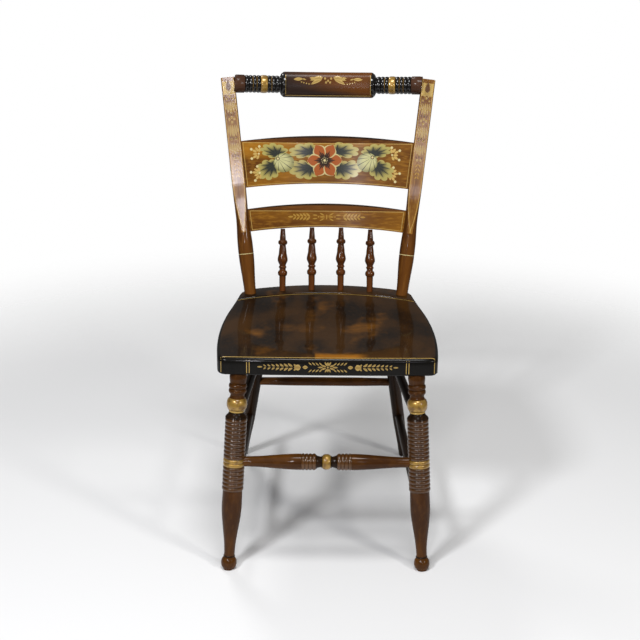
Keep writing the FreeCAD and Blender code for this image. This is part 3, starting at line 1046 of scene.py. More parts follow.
@dataclass(frozen=True)
class Layout:
    """Where the chair's pieces stand, in millimetres in the chair's frame."""

    seat_under: float = 407.5
    seat_top: float = 442.5
    ledge_top: float = 445.5
    seat_front: float = -238.4
    seat_rear: float = 199.5
    post_foot: Point = (165.0, 135.6)
    post_run: Row = (50.5, 117.0, 447.0)
    post_radius: float = 14.8

    @property
    def slope(self) -> float:
        """Lean of the back, in radians."""
        return math.atan2(self.post_run[1], self.post_run[2])

    @property
    def back_out(self) -> Vector:
        """Direction square to the slope of the back, to the rear."""
        return Vector((0.0, math.cos(self.slope), -math.sin(self.slope)))

    @property
    def back_frame(self) -> Matrix:
        """Frame of the leaning back: X across, Y to its rear, Z up its slope from the ledge."""
        up = Vector((0.0, math.sin(self.slope), math.cos(self.slope)))
        return frame_of(Vector((0.0, self.post_foot[1], self.ledge_top)), ACROSS, self.back_out, up)

    @property
    def back_length(self) -> float:
        """Height of the back up its slope."""
        return math.hypot(self.post_run[1], self.post_run[2])

    def post_x(self, up_slope: float) -> float:
        """Distance from the middle to a post's axis at a height up the slope."""
        return self.post_foot[0] + self.post_run[0] * up_slope / self.back_length

    def post_frame(self, sign: float) -> Matrix:
        """Frame of a back post: Z up its axis, Y square to its flat face.

        Args:
            sign: -1 for the left post and 1 for the right one.

        Returns:
            The frame.
        """
        up = Vector((sign * self.post_run[0], *self.post_run[1:])).normalized()
        foot = Vector((sign * self.post_foot[0], self.post_foot[1], self.ledge_top))
        return frame_of(foot, self.back_out.cross(up), self.back_out, up)

    def leg_ends(self, legs: Legs, sign: float) -> tuple[Vector, Vector]:
        """Top, under the seat, and foot of a leg's axis."""
        head, foot = legs.value
        return Vector((sign * head[0], head[1], self.seat_under)), Vector((sign * foot[0], foot[1], 0.0))

    def leg_point(self, legs: Legs, sign: float, height: float) -> Vector:
        """Point on a leg's axis at a height above the floor."""
        head, foot = self.leg_ends(legs, sign)
        return foot.lerp(head, height / self.seat_under)


@dataclass(frozen=True)
class Assembly:
    """A group of the chair's pieces that are made together, with its sizes in millimetres."""

    layout: Layout
    paints: Paints

    def piece(self, name: str, slot: Slot = Slot.DARK) -> Piece:
        """A new piece of this group."""
        return Piece(name, slot, self.paints)

    def painter(self, stencil: Piece, mesh: Mesh, frame: Matrix) -> Painter:
        """A painter who works from before the leaning back.

        Args:
            stencil: the piece that gets the films.
            mesh: the faces that they lie on.
            frame: the drawing's frame, with X across and Z up.

        Returns:
            The painter.
        """
        return Painter(stencil, BVHTree.FromBMesh(mesh),
                       lambda x, z: frame @ (Vector((x, BEFORE_BACK, z)) * MM),
                       self.layout.back_out.normalized())

    def make_legs(self, legs: Legs, outline: Callable[[float], Outline], own: Finish, steps: int) -> None:
        """Makes a pair of legs, cut off level at the floor.

        Args:
            legs: which pair.
            outline: draws a leg of a given length.
            own: its paint.
            steps: facets round it.
        """
        pair = legs.name.lower()
        for side, sign in SIDES.items():
            head, foot = self.layout.leg_ends(legs, sign)
            leg = self.piece(f"{pair}_leg_turning_{side}")
            leg.turn(outline((foot - head).length), own, along_frame(head, foot), steps)
            cut_at_floor(leg.mesh)
            leg.done([f"{pair}_leg_{side}"])


@dataclass(frozen=True)
class FrontLegs(Assembly):
    """The two ring-turned front legs, with sizes from the seat down."""

    head: float = 16.8
    ball: float = 20.3
    collar: float = 15.3
    drum: float = 21.7
    bead_depth: float = 2.1
    bead_pitch: float = 8.33
    bead_count: int = 18
    gilt_beads: tuple[int, ...] = (10, 11)
    ankle: float = 10.6
    foot: float = 15.8
    foot_length: float = 29.0
    below_floor: float = 9.0
    foot_shares: tuple[Row, ...] = (
        (0.0, 0.68), (0.08, 0.80), (0.20, 0.92), (0.38, 0.99), (0.55, 1.0), (0.72, 0.95), (0.86, 0.84),
        (0.96, 0.70),
    )

    def outline(self, length: float) -> Outline:
        """Outline of a leg from the seat to below the floor.

        Args:
            length: from the underside of the seat to the floor along the leg.

        Returns:
            The outline.
        """
        drawn = Outline(-12.0, self.head - 1.2).to(0.5, self.head - 1.2)
        drawn.curve([(12.0, 17.1), (23.0, 15.9)]).step(14.4).to(25.0, 14.4)
        drawn.bead(10.0, 14.8, 17.7).bead(10.2, 14.4, 17.5)
        drawn.curve([(drawn.place + 3.6, 13.8), (54.5, 15.0)], 4)
        drawn.bead(25.0, 14.6, self.ball, Finish.GILT).bead(3.4, 14.4, self.collar, Finish.LINE)
        drawn.curve([(drawn.place + 1.2, 15.2), (95.0, self.drum)], 8).paint(83.1, 95.5, Finish.DARK)
        for index in range(self.bead_count):
            gilt = Finish.GILT if index in self.gilt_beads else None
            drawn.bead(self.bead_pitch, self.drum - self.bead_depth, self.drum, gilt)
        drum_end, foot_start = drawn.place, length - self.foot_length
        drawn.curve([(drum_end + 4.0, 19.7), (drum_end + 32.0, 20.1)])
        drawn.curve([(foot_start - 3.0, self.ankle)], 14).to(foot_start, self.ankle)
        drawn.bead(3.4, self.ankle, self.ankle + 1.2)
        for share, radius in self.foot_shares:
            drawn.to(foot_start + 3.6 + (self.foot_length - 3.6) * share, self.foot * radius)
        drawn.paint(95.0, drum_end, Finish.RINGED).paint(foot_start - 0.5, foot_start + 4.0, Finish.DARK)
        return drawn.to(length + self.below_floor, self.foot * 0.60)

    def build(self) -> None:
        """Makes both legs."""
        self.make_legs(Legs.FRONT, self.outline, Finish.BROWN, 64)


@dataclass(frozen=True)
class PlainTurnings(Assembly):
    """The rear legs and the plain stretchers."""

    side_heights: tuple[tuple[str, float], ...] = (("upper", 308.5), ("lower", 122.5))
    rear_height: float = 220.5
    leg_head: float = 12.6
    leg_belly: float = 13.4
    bar_end: float = 8.8
    side_belly: float = 9.6
    rear_belly: float = 9.8

    def leg_outline(self, length: float) -> Outline:
        """Outline of a rear leg from the seat to below the floor.

        Args:
            length: from the underside of the seat to the floor along the leg.

        Returns:
            The outline.
        """
        drawn = Outline(-12.0, self.leg_head).to(0.5, self.leg_head)
        drawn.curve([(60.0, self.leg_belly)], 4).to(length * 0.70, self.leg_belly)
        return drawn.curve([(length - 26.0, 10.5)], 10).to(length + 9.0, 10.3)

    def bar(self, name: str, node: str, ends: Sequence[Vector], radius: float, finish: Finish) -> None:
        """Makes one plain stretcher, slightly slimmer at its ends.

        Args:
            name: the piece's name.
            node: the frame's node that it stands for.
            ends: where its axis meets those of the legs.
            radius: its radius in the middle.
            finish: its paint.
        """
        length, slim = (ends[1] - ends[0]).length, self.bar_end
        outline = Outline(6.0, slim).to(20.0, slim).curve([(length * 0.3, radius)], 8)
        outline.to(length * 0.7, radius).curve([(length - 20.0, slim)], 8).to(length - 6.0, slim)
        bar = self.piece(name)
        bar.turn(outline, finish, along_frame(*ends), 40)
        bar.done([node])

    def build(self) -> None:
        """Makes the rear legs and the side and rear stretchers."""
        self.make_legs(Legs.REAR, self.leg_outline, Finish.DARK, 48)
        rear = [self.layout.leg_point(Legs.REAR, sign, self.rear_height) for sign in BOTH]
        self.bar("rear_stretcher_bar", "rear_stretcher", rear, self.rear_belly, Finish.BROWN)
        for level, height in self.side_heights:
            for side, sign in SIDES.items():
                ends = [self.layout.leg_point(legs, sign, height) for legs in Legs]
                which = f"{level}_{side}"
                self.bar("side_bar_" + which, "side_stretcher_" + which, ends, self.side_belly, Finish.DARK)


@dataclass(frozen=True)
class FrontStretcher(Assembly):
    """The turned front stretcher with its rings and gilded ball."""

    height: float = 223.5
    end: float = 10.2
    swell: float = 16.2
    ball: float = 15.8
    ringed: float = 50.5
    dark: float = 21.0

    def outline(self, length: float) -> Outline:
        """Outline of the stretcher, the same from both ends to the ball.

        Args:
            length: from one leg's axis to the other's.

        Returns:
            The outline.
        """
        middle = length / 2.0
        drawn = Outline(6.0, self.end).to(24.0, self.end).curve([(middle - self.ringed, self.swell)], 16)
        drawn.beads(4, 7.3, 14.9, 16.8)
        drawn.curve([(drawn.place + 3.0, 12.2), (drawn.place + 8.0, 11.0), (middle - 10.2, 10.6)], 3)
        drawn.bead(1.6, 10.6, 12.6)
        half = list(drawn.rows)
        drawn.bead(length - drawn.place * 2.0, 11.0, self.ball, Finish.GILT)
        for reach, near, finish in ((self.dark, 8.7, Finish.DARK), (self.ringed, self.dark, Finish.RINGED)):
            drawn.paint(middle - reach, middle - near, finish).paint(middle + near, middle + reach, finish)
        for place, radius in reversed(half):
            drawn.to(length - place + 0.02, radius)
        return drawn

    def build(self) -> None:
        """Makes the stretcher."""
        left, right = (self.layout.leg_point(Legs.FRONT, sign, self.height) for sign in BOTH)
        stretcher = self.piece("front_stretcher_turning")
        stretcher.turn(self.outline((right - left).length), Finish.BROWN, along_frame(left, right))
        stretcher.done(["front_stretcher"])


@dataclass(frozen=True)
class BackPosts(Assembly):
    """The two back posts: turned below, shaved to a flat face above."""

    flat: tuple[Row, ...] = (
        (131.0, 14.4), (188.0, 8.6), (203.0, 7.3), (218.0, 6.4), (234.0, 5.9), (250.0, 5.8), (480.0, 5.8)
    )
    waist: Row = (163.0, 13.6)
    full: float = 240.0
    line_start: float = 134.5
    line_inset: float = 1.6

    @property
    def length(self) -> float:
        """Length of a post above the ledge."""
        return math.hypot(self.layout.back_length, self.layout.post_run[0])

    def outline(self) -> Outline:
        """Outline of a post from its foot up.

        Returns:
            The outline.
        """
        radius, top = self.layout.post_radius, self.length
        drawn = Outline(-14.0, 12.6).to(2.0, 12.6).curve([(84.5, 16.4)], 12)
        drawn.to(84.9, 15.8).to(85.7, 15.8).to(86.1, 16.45).to(101.0, 16.3)
        drawn.curve([self.waist], 12).curve([(self.full, radius)], 14)
        while drawn.place < top - 5.0:
            drawn.to(min(drawn.place + 5.0, top - 1.3), radius)
        drawn.to(top - 1.3, radius).to(top - 0.4, 14.4).to(top, 13.5)
        return drawn.paint(84.2, 86.5, Finish.CREAM)

    def shaved(self, point: Vector) -> Vector:
        """A point of the turning after its face was shaved flat.

        Args:
            point: the point, in millimetres.

        Returns:
            Its place.
        """
        if point.z <= self.flat[0][0]:
            return point
        return Vector((point.x, max(point.y, -through(self.flat, point.z)), point.z))

    def ornament(self) -> list[Shape]:
        """Leaves and flowers down the upper part of a post's face, in its own frame.

        Returns:
            The shapes in the order of laying.
        """
        top = self.length
        shapes: list[Shape] = [
            Line(((0.0, top - 2.6), (0.0, top - 24.0)), 24.4, Finish.POWDER, 0.05),
            Stroke(0.0, top - 29.0, 90.0, 23.0, 11.0, belly=0.25, tip=1.1, finish=Finish.UMBER),
        ]
        shapes += berries(top, (
            (-6.0, -34.0, 2.2), (6.0, -33.0, 2.0), (0.0, -31.5, 1.9), (0.0, -41.0, 2.5),
            (-7.0, -46.5, 2.0), (7.0, -46.5, 2.0), (-3.6, -37.0, 1.6), (3.8, -37.4, 1.6),
        ))
        fan = ((0.0, 0.0, 1.0, 5.2), (-3.8, -6.0, 0.86, 3.6), (3.8, 6.0, 0.86, 3.6),
               (-7.0, -11.0, 0.66, 2.6), (7.0, 11.0, 0.66, 2.6))
        for drop, size in ((51.0, 30.0), (101.0, 30.0), (140.0, 27.0)):
            shapes += [Stroke(x, top - drop, 270.0 + turn, size * scale, width, belly=0.62)
                       for x, turn, scale, width in fan]
        for drop, reach in ((76.0, 9.0), (126.0, 9.0), (165.0, 8.0)):
            shapes += strokes(top - drop, (
                (-7.5, 0.0, 292.0, reach, 2.4), (7.5, 0.0, 248.0, reach, 2.4), (0.0, 2.0, 270.0, reach, 2.6)
            ), Finish.UMBER)
        shapes += berries(top, [(x, -drop, 2.6) for x, drop in (
            (-5.2, 89.5), (5.2, 89.5), (0.0, 86.0), (0.0, 96.0), (-5.0, 132.0), (5.0, 132.0), (-3.6, 174.0),
            (3.6, 174.0),
        )])
        for index in range(4):
            shapes += strokes(top - 182.0 - index * 9.0, [
                (side * 0.8, 0.0, 270.0 + side * 30.0, 10.0 - index, 2.6) for side in BOTH
            ], Finish.FAINT)
        return shapes

    def edge_lines(self) -> list[Line]:
        """Thin gold lines inside the two edges of the flat face.

        Returns:
            The left line and the right one.
        """
        lines = []
        (waist, slim), radius = self.waist, self.layout.post_radius
        for side in BOTH:
            points = []
            for index in range(24):
                share = (index / 23.0) ** 1.6
                place = self.line_start + (self.length - 2.5 - self.line_start) * share
                round_there = smooth_between(slim - 0.3, radius, (place - waist) / (self.full - waist))
                half = math.sqrt(max(0.0, round_there ** 2 - through(self.flat, place) ** 2))
                points.append((side * max(0.5, half - self.line_inset), place))
            lines.append(Line(tuple(points), 0.9))
        return lines

    def dress(self, post: Piece, frame: Matrix, side: str) -> None:
        """Lays the ornament on a post's shaved face and gives the face its lighter paint.

        Args:
            post: the post.
            frame: its frame.
            side: which one it is.
        """
        stencil = self.piece("back_post_stencil_" + side)
        self.painter(stencil, post.mesh, frame).paint(self.edge_lines() + self.ornament())
        index, back = post.index_of(Finish.FLAT), frame.inverted()
        for face in post.mesh.faces:
            local = back @ face.calc_center_median() / MM
            if local.z > self.flat[0][0] and abs(local.y + through(self.flat, local.z)) < 0.25:
                face.material_index = index
        post.done(["back_post_" + side], 32.0)
        stencil.done()

    def build(self) -> None:
        """Makes both posts and their ornament."""
        for side, sign in SIDES.items():
            frame = self.layout.post_frame(sign)
            post = self.piece("back_post_turning_" + side)
            post.turn(self.outline(), Finish.POST, frame, 96, self.shaved)
            self.dress(post, frame, side)


@dataclass(frozen=True)
class Slat(Assembly):
    """A bent slat between the posts, with its stencil, by heights up the slope of the back."""

    name: str = ""
    low: float = 0.0
    high: float = 0.0
    thickness: float = 9.5
    bow: float = 25.0
    set_in: float = 2.6
    crown: float = 15.5
    arch: float = 12.5
    roll: float = 5.0
    sink: float = 4.8
    least_roll: float = 1.0
    inset: float = 3.2
    upright: float = 0.8
    edge_round: float = 0.9
    cuts: tuple[tuple[int, int], ...] = ((0, 63), (2, 19), (1, 3))

    def fall(self, x: float) -> float:
        """Share of the bend that is left at a distance from the middle."""
        return 1.0 - (x / self.layout.post_x((self.low + self.high) / 2.0)) ** 2

    def bottom(self, x: float) -> float:
        """Height of the arched lower edge."""
        return self.low + self.arch * self.fall(x)

    def placed(self, point: Vector) -> Vector:
        """Carries a point of a unit block to the slat.

        Args:
            point: the point, from -1 to 1 along each axis.

        Returns:
            Its place in the back's frame, in millimetres.
        """
        up, back = (point.z + 1.0) / 2.0, (point.y + 1.0) / 2.0
        x = (self.layout.post_x(self.low + (self.high - self.low) * up) - self.sink) * point.x
        if up <= self.upright:
            height = self.bottom(x) + (self.high - self.bottom(x)) * up / self.upright
        else:
            rise = self.least_roll + (self.crown - self.least_roll) * max(0.0, self.fall(x))
            height = self.high + rise * (up - self.upright) / (1.0 - self.upright)
        rolled = max(0.0, height - self.high) * self.roll / self.crown
        front = self.bow * self.fall(x) - self.set_in
        return Vector((x, front + self.thickness * back + rolled * (1.0 - back), height))

    def finish_at(self, centre: Vector) -> Finish:
        """The paint of a face of the unit block: amber in front, a darker amber on the rolled top as painted
        shade, dark on the top's back edge and behind.

        Args:
            centre: the face's centre, from -1 to 1 along each axis.

        Returns:
            Its finish.
        """
        if centre.y > 0.99 or centre.z > 0.91:
            return Finish.DARK
        # The rolled top band gets the darker post graining, a painted shade.
        return Finish.AMBER if centre.z < 0.6 else Finish.POST

    def board(self) -> Piece:
        """The bent board.

        Returns:
            Its piece, which isn't an object yet.
        """
        piece, block = self.piece(self.name + "_board", Slot.GRAINED), new_mesh()
        bmesh.ops.create_cube(block, size=2.0)
        for axis, cuts in self.cuts:
            edges = [e for e in block.edges if abs(e.verts[0].co[axis] - e.verts[1].co[axis]) > 0.01]
            bmesh.ops.subdivide_edges(block, edges=edges, cuts=cuts, use_grid_fill=True)
        piece.paint(block, self.finish_at)
        sharp = [e for e in block.edges if e.calc_face_angle(0.0) > 1.0]
        for vert in block.verts:
            vert.co = self.placed(vert.co)
        bmesh.ops.bevel(block, geom=sharp, offset=self.edge_round, affect="EDGES", segments=3, profile=0.5,
                        material=-1)
        piece.settle(block, self.layout.back_frame, lambda point: point.zyx)
        return piece

    def border(self) -> list[Line]:
        """The gold line round the front face, just inside its edges.

        Returns:
            Its four runs.
        """
        low, high = (self.layout.post_x(level) - self.layout.post_radius - self.inset
                     for level in (self.low, self.high))
        shares = [index / 18.0 - 1.0 for index in range(37)]
        under = [(low * share, self.bottom(low * share) + self.inset) for share in shares]
        over = [(high * share, self.high - 1.0) for share in shares]
        return [Line(tuple(run), 1.0) for run in (under, over, (under[0], over[0]), (under[-1], over[-1]))]

    def ornament(self) -> list[Shape]:
        """The slat's stencil."""
        return []

    def build(self) -> None:
        """Makes the slat and lays its stencil."""
        board = self.board()
        stencil = self.piece(self.name + "_stencil", Slot.GRAINED)
        self.painter(stencil, board.mesh, self.layout.back_frame).paint(self.border() + self.ornament())
        board.done([self.name], 14.0)
        stencil.done()


@dataclass(frozen=True)
class WideSlat(Slat):
    """The upper slat, with a six-petalled flower between two ribbed melons and their leaves."""

    name: str = "wide_slat"
    low: float = 224.3
    high: float = 324.5
    flower: Point = (-5.7, 287.0)
    melon: Point = (22.5, 21.0)
    leaves: tuple[tuple, ...] = (
        (-49.0, 308.0, 36.0, 16.5, 8, 0.24, 8.0, (0.42, -0.40)),
        (-52.0, 266.5, 35.0, 20.5, 9, 0.24, -12.0, (0.46, 0.38)),
        (-115.0, 306.5, 31.0, 16.5, 9, 0.24, -6.0, (0.26, -0.50)),
        (-126.5, 266.0, 28.0, 22.5, 9, 0.24, 14.0, (0.50, 0.34)),
        (35.0, 309.5, 35.0, 17.0, 8, 0.24, -6.0, (-0.42, -0.40)),
        (43.0, 267.0, 35.0, 20.5, 9, 0.24, 12.0, (-0.46, 0.38)),
        (106.0, 308.0, 33.0, 15.5, 9, 0.24, 4.0, (-0.24, -0.50)),
        (117.0, 266.5, 28.0, 22.5, 9, 0.24, -14.0, (-0.50, 0.34)),
    )
    sprays: tuple[Row, ...] = (
        (-74.0, 3.0, 10.5), (-44.0, 6.0, 11.5), (-15.0, 4.0, 11.0), (15.0, 7.0, 11.0), (44.0, 5.0, 11.5),
        (74.0, 3.0, 10.0),
    )

    def spray(self, x: float, y: float, heading: float, side: float) -> list[Stroke]:
        """A small spray of leaves and berries in a corner of the slat.

        Args:
            x: where it springs from.
            y: where it springs from.
            heading: the way it grows, in degrees, on the right side.
            side: 1 on the right of the slat, -1 on the left.

        Returns:
            Its strokes.
        """
        shapes = []
        for index, (turn, start, reach) in enumerate(self.sprays):
            way = heading + turn if side > 0.0 else 180.0 - heading - turn
            shapes.append(Stroke(*reached(x, y, way, start), way, reach, 5.2, belly=0.6, finish=Finish.LINE))
            if index % 2 == 1:
                shapes.append(berry(*reached(x, y, way, start + reach + 2.6), 3.0, Finish.CREAM))
        return shapes + [berry(x + side * 2.0, y, 2.2, Finish.CREAM)]

    def blossom(self) -> list[Shape]:
        """The flower: ribbed petals round a dark eye with a ring of cream dots.

        Returns:
            The shapes in the order of laying.
        """
        shapes: list[Shape] = []
        for index in range(6):
            heading, lift = index * 60.0 + 1.0, 0.26 + index * 0.01
            root = reached(*self.flower, heading, 4.0)
            shapes.append(Stroke(*root, heading, 34.5, 28.5, 0.0, 0.60, 0.95, 0.7, Finish.PETAL, lift))
            for bend, reach in ((0.0, 20.0), (2.6, 15.0), (-2.6, 15.0)):
                shapes.append(Stroke(*root, heading + bend * 3.4, reach, 4.0, bend, 0.25, finish=Finish.SHADE,
                                     lift=lift + 0.08))
        shapes.append(Rosette(*self.flower, 7.6, 7.6, 9, 0.25, finish=Finish.SHADE, lift=0.42))
        for index in range(11):
            spot = reached(*self.flower, 360.0 * index / 11.0, 5.6 + 1.2 * (index % 2))
            shapes.append(berry(*spot, 0.85, Finish.CREAM, 0.46))
        return shapes + [berry(*self.flower, 2.9, Finish.CREAM, 0.48)]

    def ornament(self) -> list[Shape]:
        """Leaves, melons, flower and corner sprays.

        Returns:
            The shapes in the order of laying.
        """
        shapes: list[Shape] = [Rosette(*leaf, lift=0.06 + index * 0.012)
                               for index, leaf in enumerate(self.leaves)]
        for x, y, eye in ((-94.0, 281.5, (-0.58, 0.40)), (86.5, 283.5, (0.50, 0.52))):
            shapes.append(Rosette(x, y, *self.melon, 9, 0.035, 0.0, eye, Finish.MELON, 0.2))
            stem = (x + self.melon[0] * eye[0], y + self.melon[1] * eye[1])
            shapes += [berry(*stem, 4.2, Finish.SHADE, 0.24), berry(*stem, 2.6, Finish.CREAM, 0.28)]
        shapes += self.blossom()
        for side in BOTH:
            shapes += self.spray(side * 142.0 - 4.0, 300.0, 12.0, side)
            shapes += self.spray(side * 140.0 - 4.0, 259.0, -12.0, side)
        return shapes


@dataclass(frozen=True)
class NarrowSlat(Slat):
    """The lower slat, with fine sprigs growing out of a small middle motif."""

    name: str = "narrow_slat"
    low: float = 130.0
    high: float = 178.0
    middle: float = 164.5

    def ornament(self) -> list[Shape]:
        """The middle motif and both sprigs, with pairs of leaves that grow smaller.

        Returns:
            The shapes in the order of laying.
        """
        half = [(3.0, 0.0, 0.0, 13.0, 2.8), (5.0, 3.0, 28.0, 12.0, 2.6), (5.0, -3.0, -28.0, 12.0, 2.6),
                (20.0, 3.5, 4.0, 11.0, 2.4), (20.0, -3.5, -4.0, 11.0, 2.4),
                (16.5, 0.0, 0.0, 3.0, 3.0, 0.0, 0.5, 0.5, 0.5)]
        for index in range(5):
            size = 12.0 * (1.0 - 0.05 * index)
            half += [(33.0 + 7.6 * (index + 0.4), 0.0, side * 42.0, size, size * 0.34) for side in BOTH]
        half.append((72.52, 0.0, 0.0, 12.0, 3.84))
        stalk = strokes(self.middle, [(0.0, -6.0, 90.0, 12.0, 2.6)], Finish.FAINT)
        return stalk + mirrored(strokes(self.middle, half, Finish.FAINT))


@dataclass(frozen=True)
class Spindles(Assembly):
    """The four turned spindles under the narrow slat."""

    spacing: float = 63.5
    row_bow: float = 26.0
    set_back: float = 2.15

    def outline(self, length: float) -> Outline:
        """Outline of a spindle from the seat up.

        Args:
            length: from the seat's ledge to the narrow slat.

        Returns:
            The outline.
        """
        drawn = Outline(-8.0, 6.7).to(0.5, 6.7).curve([(length * 0.23, 7.0)], 5)
        drawn.bead(length * 0.09, 6.9, 10.3).curve([(length * 0.355, 6.7)], 3)
        drawn.bead(length * 0.036, 6.7, 8.4)
        drawn.curve([(length * 0.49, 11.0)], 9).curve([(length * 0.62, 8.2), (length * 0.735, 6.6)], 7)
        return drawn.bead(length * 0.075, 6.6, 10.0).curve([(length - 0.9, 4.9)], 8)

    def build(self) -> None:
        """Makes the spindles."""
        layout = self.layout
        for index in range(4):
            x = (index - 1.5) * self.spacing
            bow = self.row_bow * (1.0 - (x / layout.post_foot[0]) ** 2)
            foot = Vector((x, layout.post_foot[1] + bow, layout.ledge_top))
            fall = 1.0 - (x / layout.post_x(NarrowSlat.low)) ** 2
            head = Vector((x, NarrowSlat.bow * fall + self.set_back, NarrowSlat.low + NarrowSlat.arch * fall))
            head = layout.back_frame @ (head * MM) / MM
            spindle = self.piece(f"spindle_turning_{index + 1}")
            spindle.turn(self.outline((head - foot).length), Finish.RED_BROWN, along_frame(foot, head), 48)
            spindle.done([f"spindle_{index + 1}"])


@dataclass(frozen=True)
class CrestRail(Assembly):
    """The bent crest: ringed, turned ends and a flattened pillow block."""

    drop: float = 13.1
    bend: float = math.radians(7.7)
    half: float = 100.0
    shoulder: float = 6.0
    tall: float = 27.2
    deep: float = 16.5
    squareness: float = 2.8
    black_from: float = 94.5
    post_gap: float = 14.9
    section_points: int = 56
    bend_steps: int = 40
    narrowing: float = 0.12
    rounding: tuple[Row, ...] = ((0.35, 1.3), (0.8, 1.7), (1.6, 1.6), (2.6, 1.0))

    @property
    def height(self) -> float:
        """Height of the crest's axis up the slope of the back."""
        return self.layout.back_length - self.drop

    @property
    def rim_y(self) -> float:
        """How far behind the posts' plane the pillow's rims lie."""
        return (self.layout.post_x(self.height) - self.half) * math.tan(self.bend)

    def end_outline(self, length: float) -> Outline:
        """Outline of a turned end, from the post to the pillow.

        Args:
            length: from the post to the pillow's rim.

        Returns:
            The outline.
        """
        ring_at = length - 46.0
        drawn = Outline(-7.0, 5.0).to(-1.8, 5.0).step(18.7).to(0.0, 18.9).curve([(3.0, 19.4)], 2)
        drawn.to(ring_at - 35.0, 19.2).curve([(ring_at - 33.8, 17.4)], 3)
        plain_end = drawn.place
        drawn.beads(4, 8.45, 16.2, 18.7).step(18.0)
        drawn.bead(14.7, 17.6, 19.2, Finish.GILT).beads(3, 8.5, 16.2, 18.5)
        drawn.curve([(length - 4.2, 16.8), (length + 0.5, 24.0)], 6).to(length + 6.0, 24.0)
        for place in (ring_at - 16.9, ring_at - 8.45, ring_at + 23.2):
            drawn.paint(place - 0.5, place + 0.5, Finish.LINE)
        return drawn.paint(-7.0, plain_end, Finish.CREST_END)

    def sawn(self, length: float, across: Vector) -> Callable[[Vector], Vector]:
        """How a turned part's ends are cut: slanted against the post, and sawn level with the pillow.

        Args:
            length: length of the turned part.
            across: the local direction square to the pillow's faces.

        Returns:
            What carries each local point to its place.
        """
        rise, most = across.cross(UP), self.deep - 0.9
        lean = self.layout.post_run[0] / self.layout.back_length

        def cut(point: Vector) -> Vector:
            """The place of a local point.

            Args:
                point: a point of the turned part, in its own frame.

            Returns:
                Its place.
            """
            if point.z < 1.0:
                return point - UP * lean * point.dot(rise)
            depth = point.dot(across)
            if point.z < length - 9.0 or abs(depth) <= most:
                return point
            return point - across * (depth - math.copysign(most, depth))

        return cut

    def section(self) -> list[Point]:
        """Section of the pillow: depth and height of points round it.

        Returns:
            The points in order.
        """
        points = []
        for index in range(self.section_points):
            turn = math.tau * index / self.section_points
            c, s = math.cos(turn), math.sin(turn)
            shape = (abs(c) ** self.squareness + abs(s) ** self.squareness) ** (-1.0 / self.squareness)
            narrowed = 1.0 - self.narrowing * (s * shape) ** 2
            points.append((self.deep * c * shape * narrowed, self.tall * s * shape))
        return points

    def pillow(self, piece: Piece) -> None:
        """Adds the pillow block, bent about an upright line far in front, to a piece.

        Args:
            piece: the crest's piece.
        """
        radius = self.half / math.sin(self.bend)
        bend = self.bend * (self.half - self.shoulder) / self.half
        block = new_mesh()
        verts, rim = ring(block, [(0.0, radius + depth, height) for depth, height in self.section()])
        bmesh.ops.rotate(block, verts=verts, cent=ORIGIN, matrix=Matrix.Rotation(bend, 3, "Z"))
        spin = bmesh.ops.spin(block, geom=verts + rim, axis=-UP, cent=ORIGIN, angle=bend * 2.0,
                              steps=self.bend_steps)
        ends = [rim, only(spin["geom_last"], bmesh.types.BMEdge)]
        for cap in [bmesh.ops.contextual_create(block, geom=end)["faces"][0] for end in ends]:
            way = math.copysign(1.0, cap.calc_center_median().x)
            for thickness, out in self.rounding:
                bmesh.ops.inset_region(block, faces=[cap], thickness=thickness, depth=0.0)
                bmesh.ops.translate(block, verts=cap.verts, vec=(way * out, 0.0, 0.0))
        bmesh.ops.recalc_face_normals(block, faces=block.faces)
        piece.paint(block, lambda centre: Finish.BLACK if abs(centre.x) > self.black_from else Finish.CREST)
        shift = Vector((0.0, self.rim_y - radius * math.cos(self.bend), self.height))
        piece.settle(block, self.layout.back_frame @ Matrix.Translation(shift * MM),
                     lambda point: Vector((point.z, point.y - radius, point.x)))

    def ornament(self) -> list[Shape]:
        """Border and sprigs on the pillow's face.

        Returns:
            The shapes in the order of laying.
        """
        z, edge = self.height, 91.0
        low, high = z - 23.5, z + 19.5
        half = strokes(z, (
            (12.0, 12.5, -8.0, 27.0, 8.5, 2.0, 0.35), (14.0, 10.0, -24.0, 25.0, 7.0, 1.5, 0.45),
            (11.0, 14.5, 12.0, 15.0, 4.6), (26.0, 13.0, 4.0, 14.0, 4.4), (54.0, 11.5, -2.0, 20.0, 6.6),
            (47.0, 9.5, 18.0, 9.0, 2.8),
        ))
        half += berries(z, ((57.0, 5.0, 1.5), (52.0, 3.4, 1.5), (46.5, 2.0, 1.5), (41.0, 1.0, 1.5)))
        dots = ((-6.6, 13.0, 2.3), (6.6, 13.0, 2.3), (0.0, 8.2, 2.3), (-4.4, 4.6, 2.3), (4.4, 4.6, 2.3))
        lower = tuple((edge * (index / 10.0 - 1.0), low) for index in range(21))
        runs = [lower] + [((side * edge, low), (side * edge, high)) for side in BOTH]
        return mirrored(half) + berries(z, dots) + [Line(run, 1.2) for run in runs]

    def build(self) -> None:
        """Makes the crest and lays its ornament."""
        layout, frame = self.layout, self.layout.back_frame
        crest, stencil = self.piece("crest_rail_body"), self.piece("crest_rail_stencil")
        self.pillow(crest)
        self.painter(stencil, crest.mesh, frame).paint(self.ornament())
        for sign in BOTH:
            rim = Vector((sign * self.half, self.rim_y, self.height))
            post = Vector((sign * layout.post_x(self.height), 0.0, self.height))
            start = post + (rim - post).normalized() * self.post_gap
            length, local = (rim - start).length, along_frame(start, rim)
            across = local.to_3x3().transposed() @ BACK
            crest.turn(self.end_outline(length), Finish.JET, frame @ local, 64, self.sawn(length, across))
        crest.done(["crest_rail"])
        stencil.done()


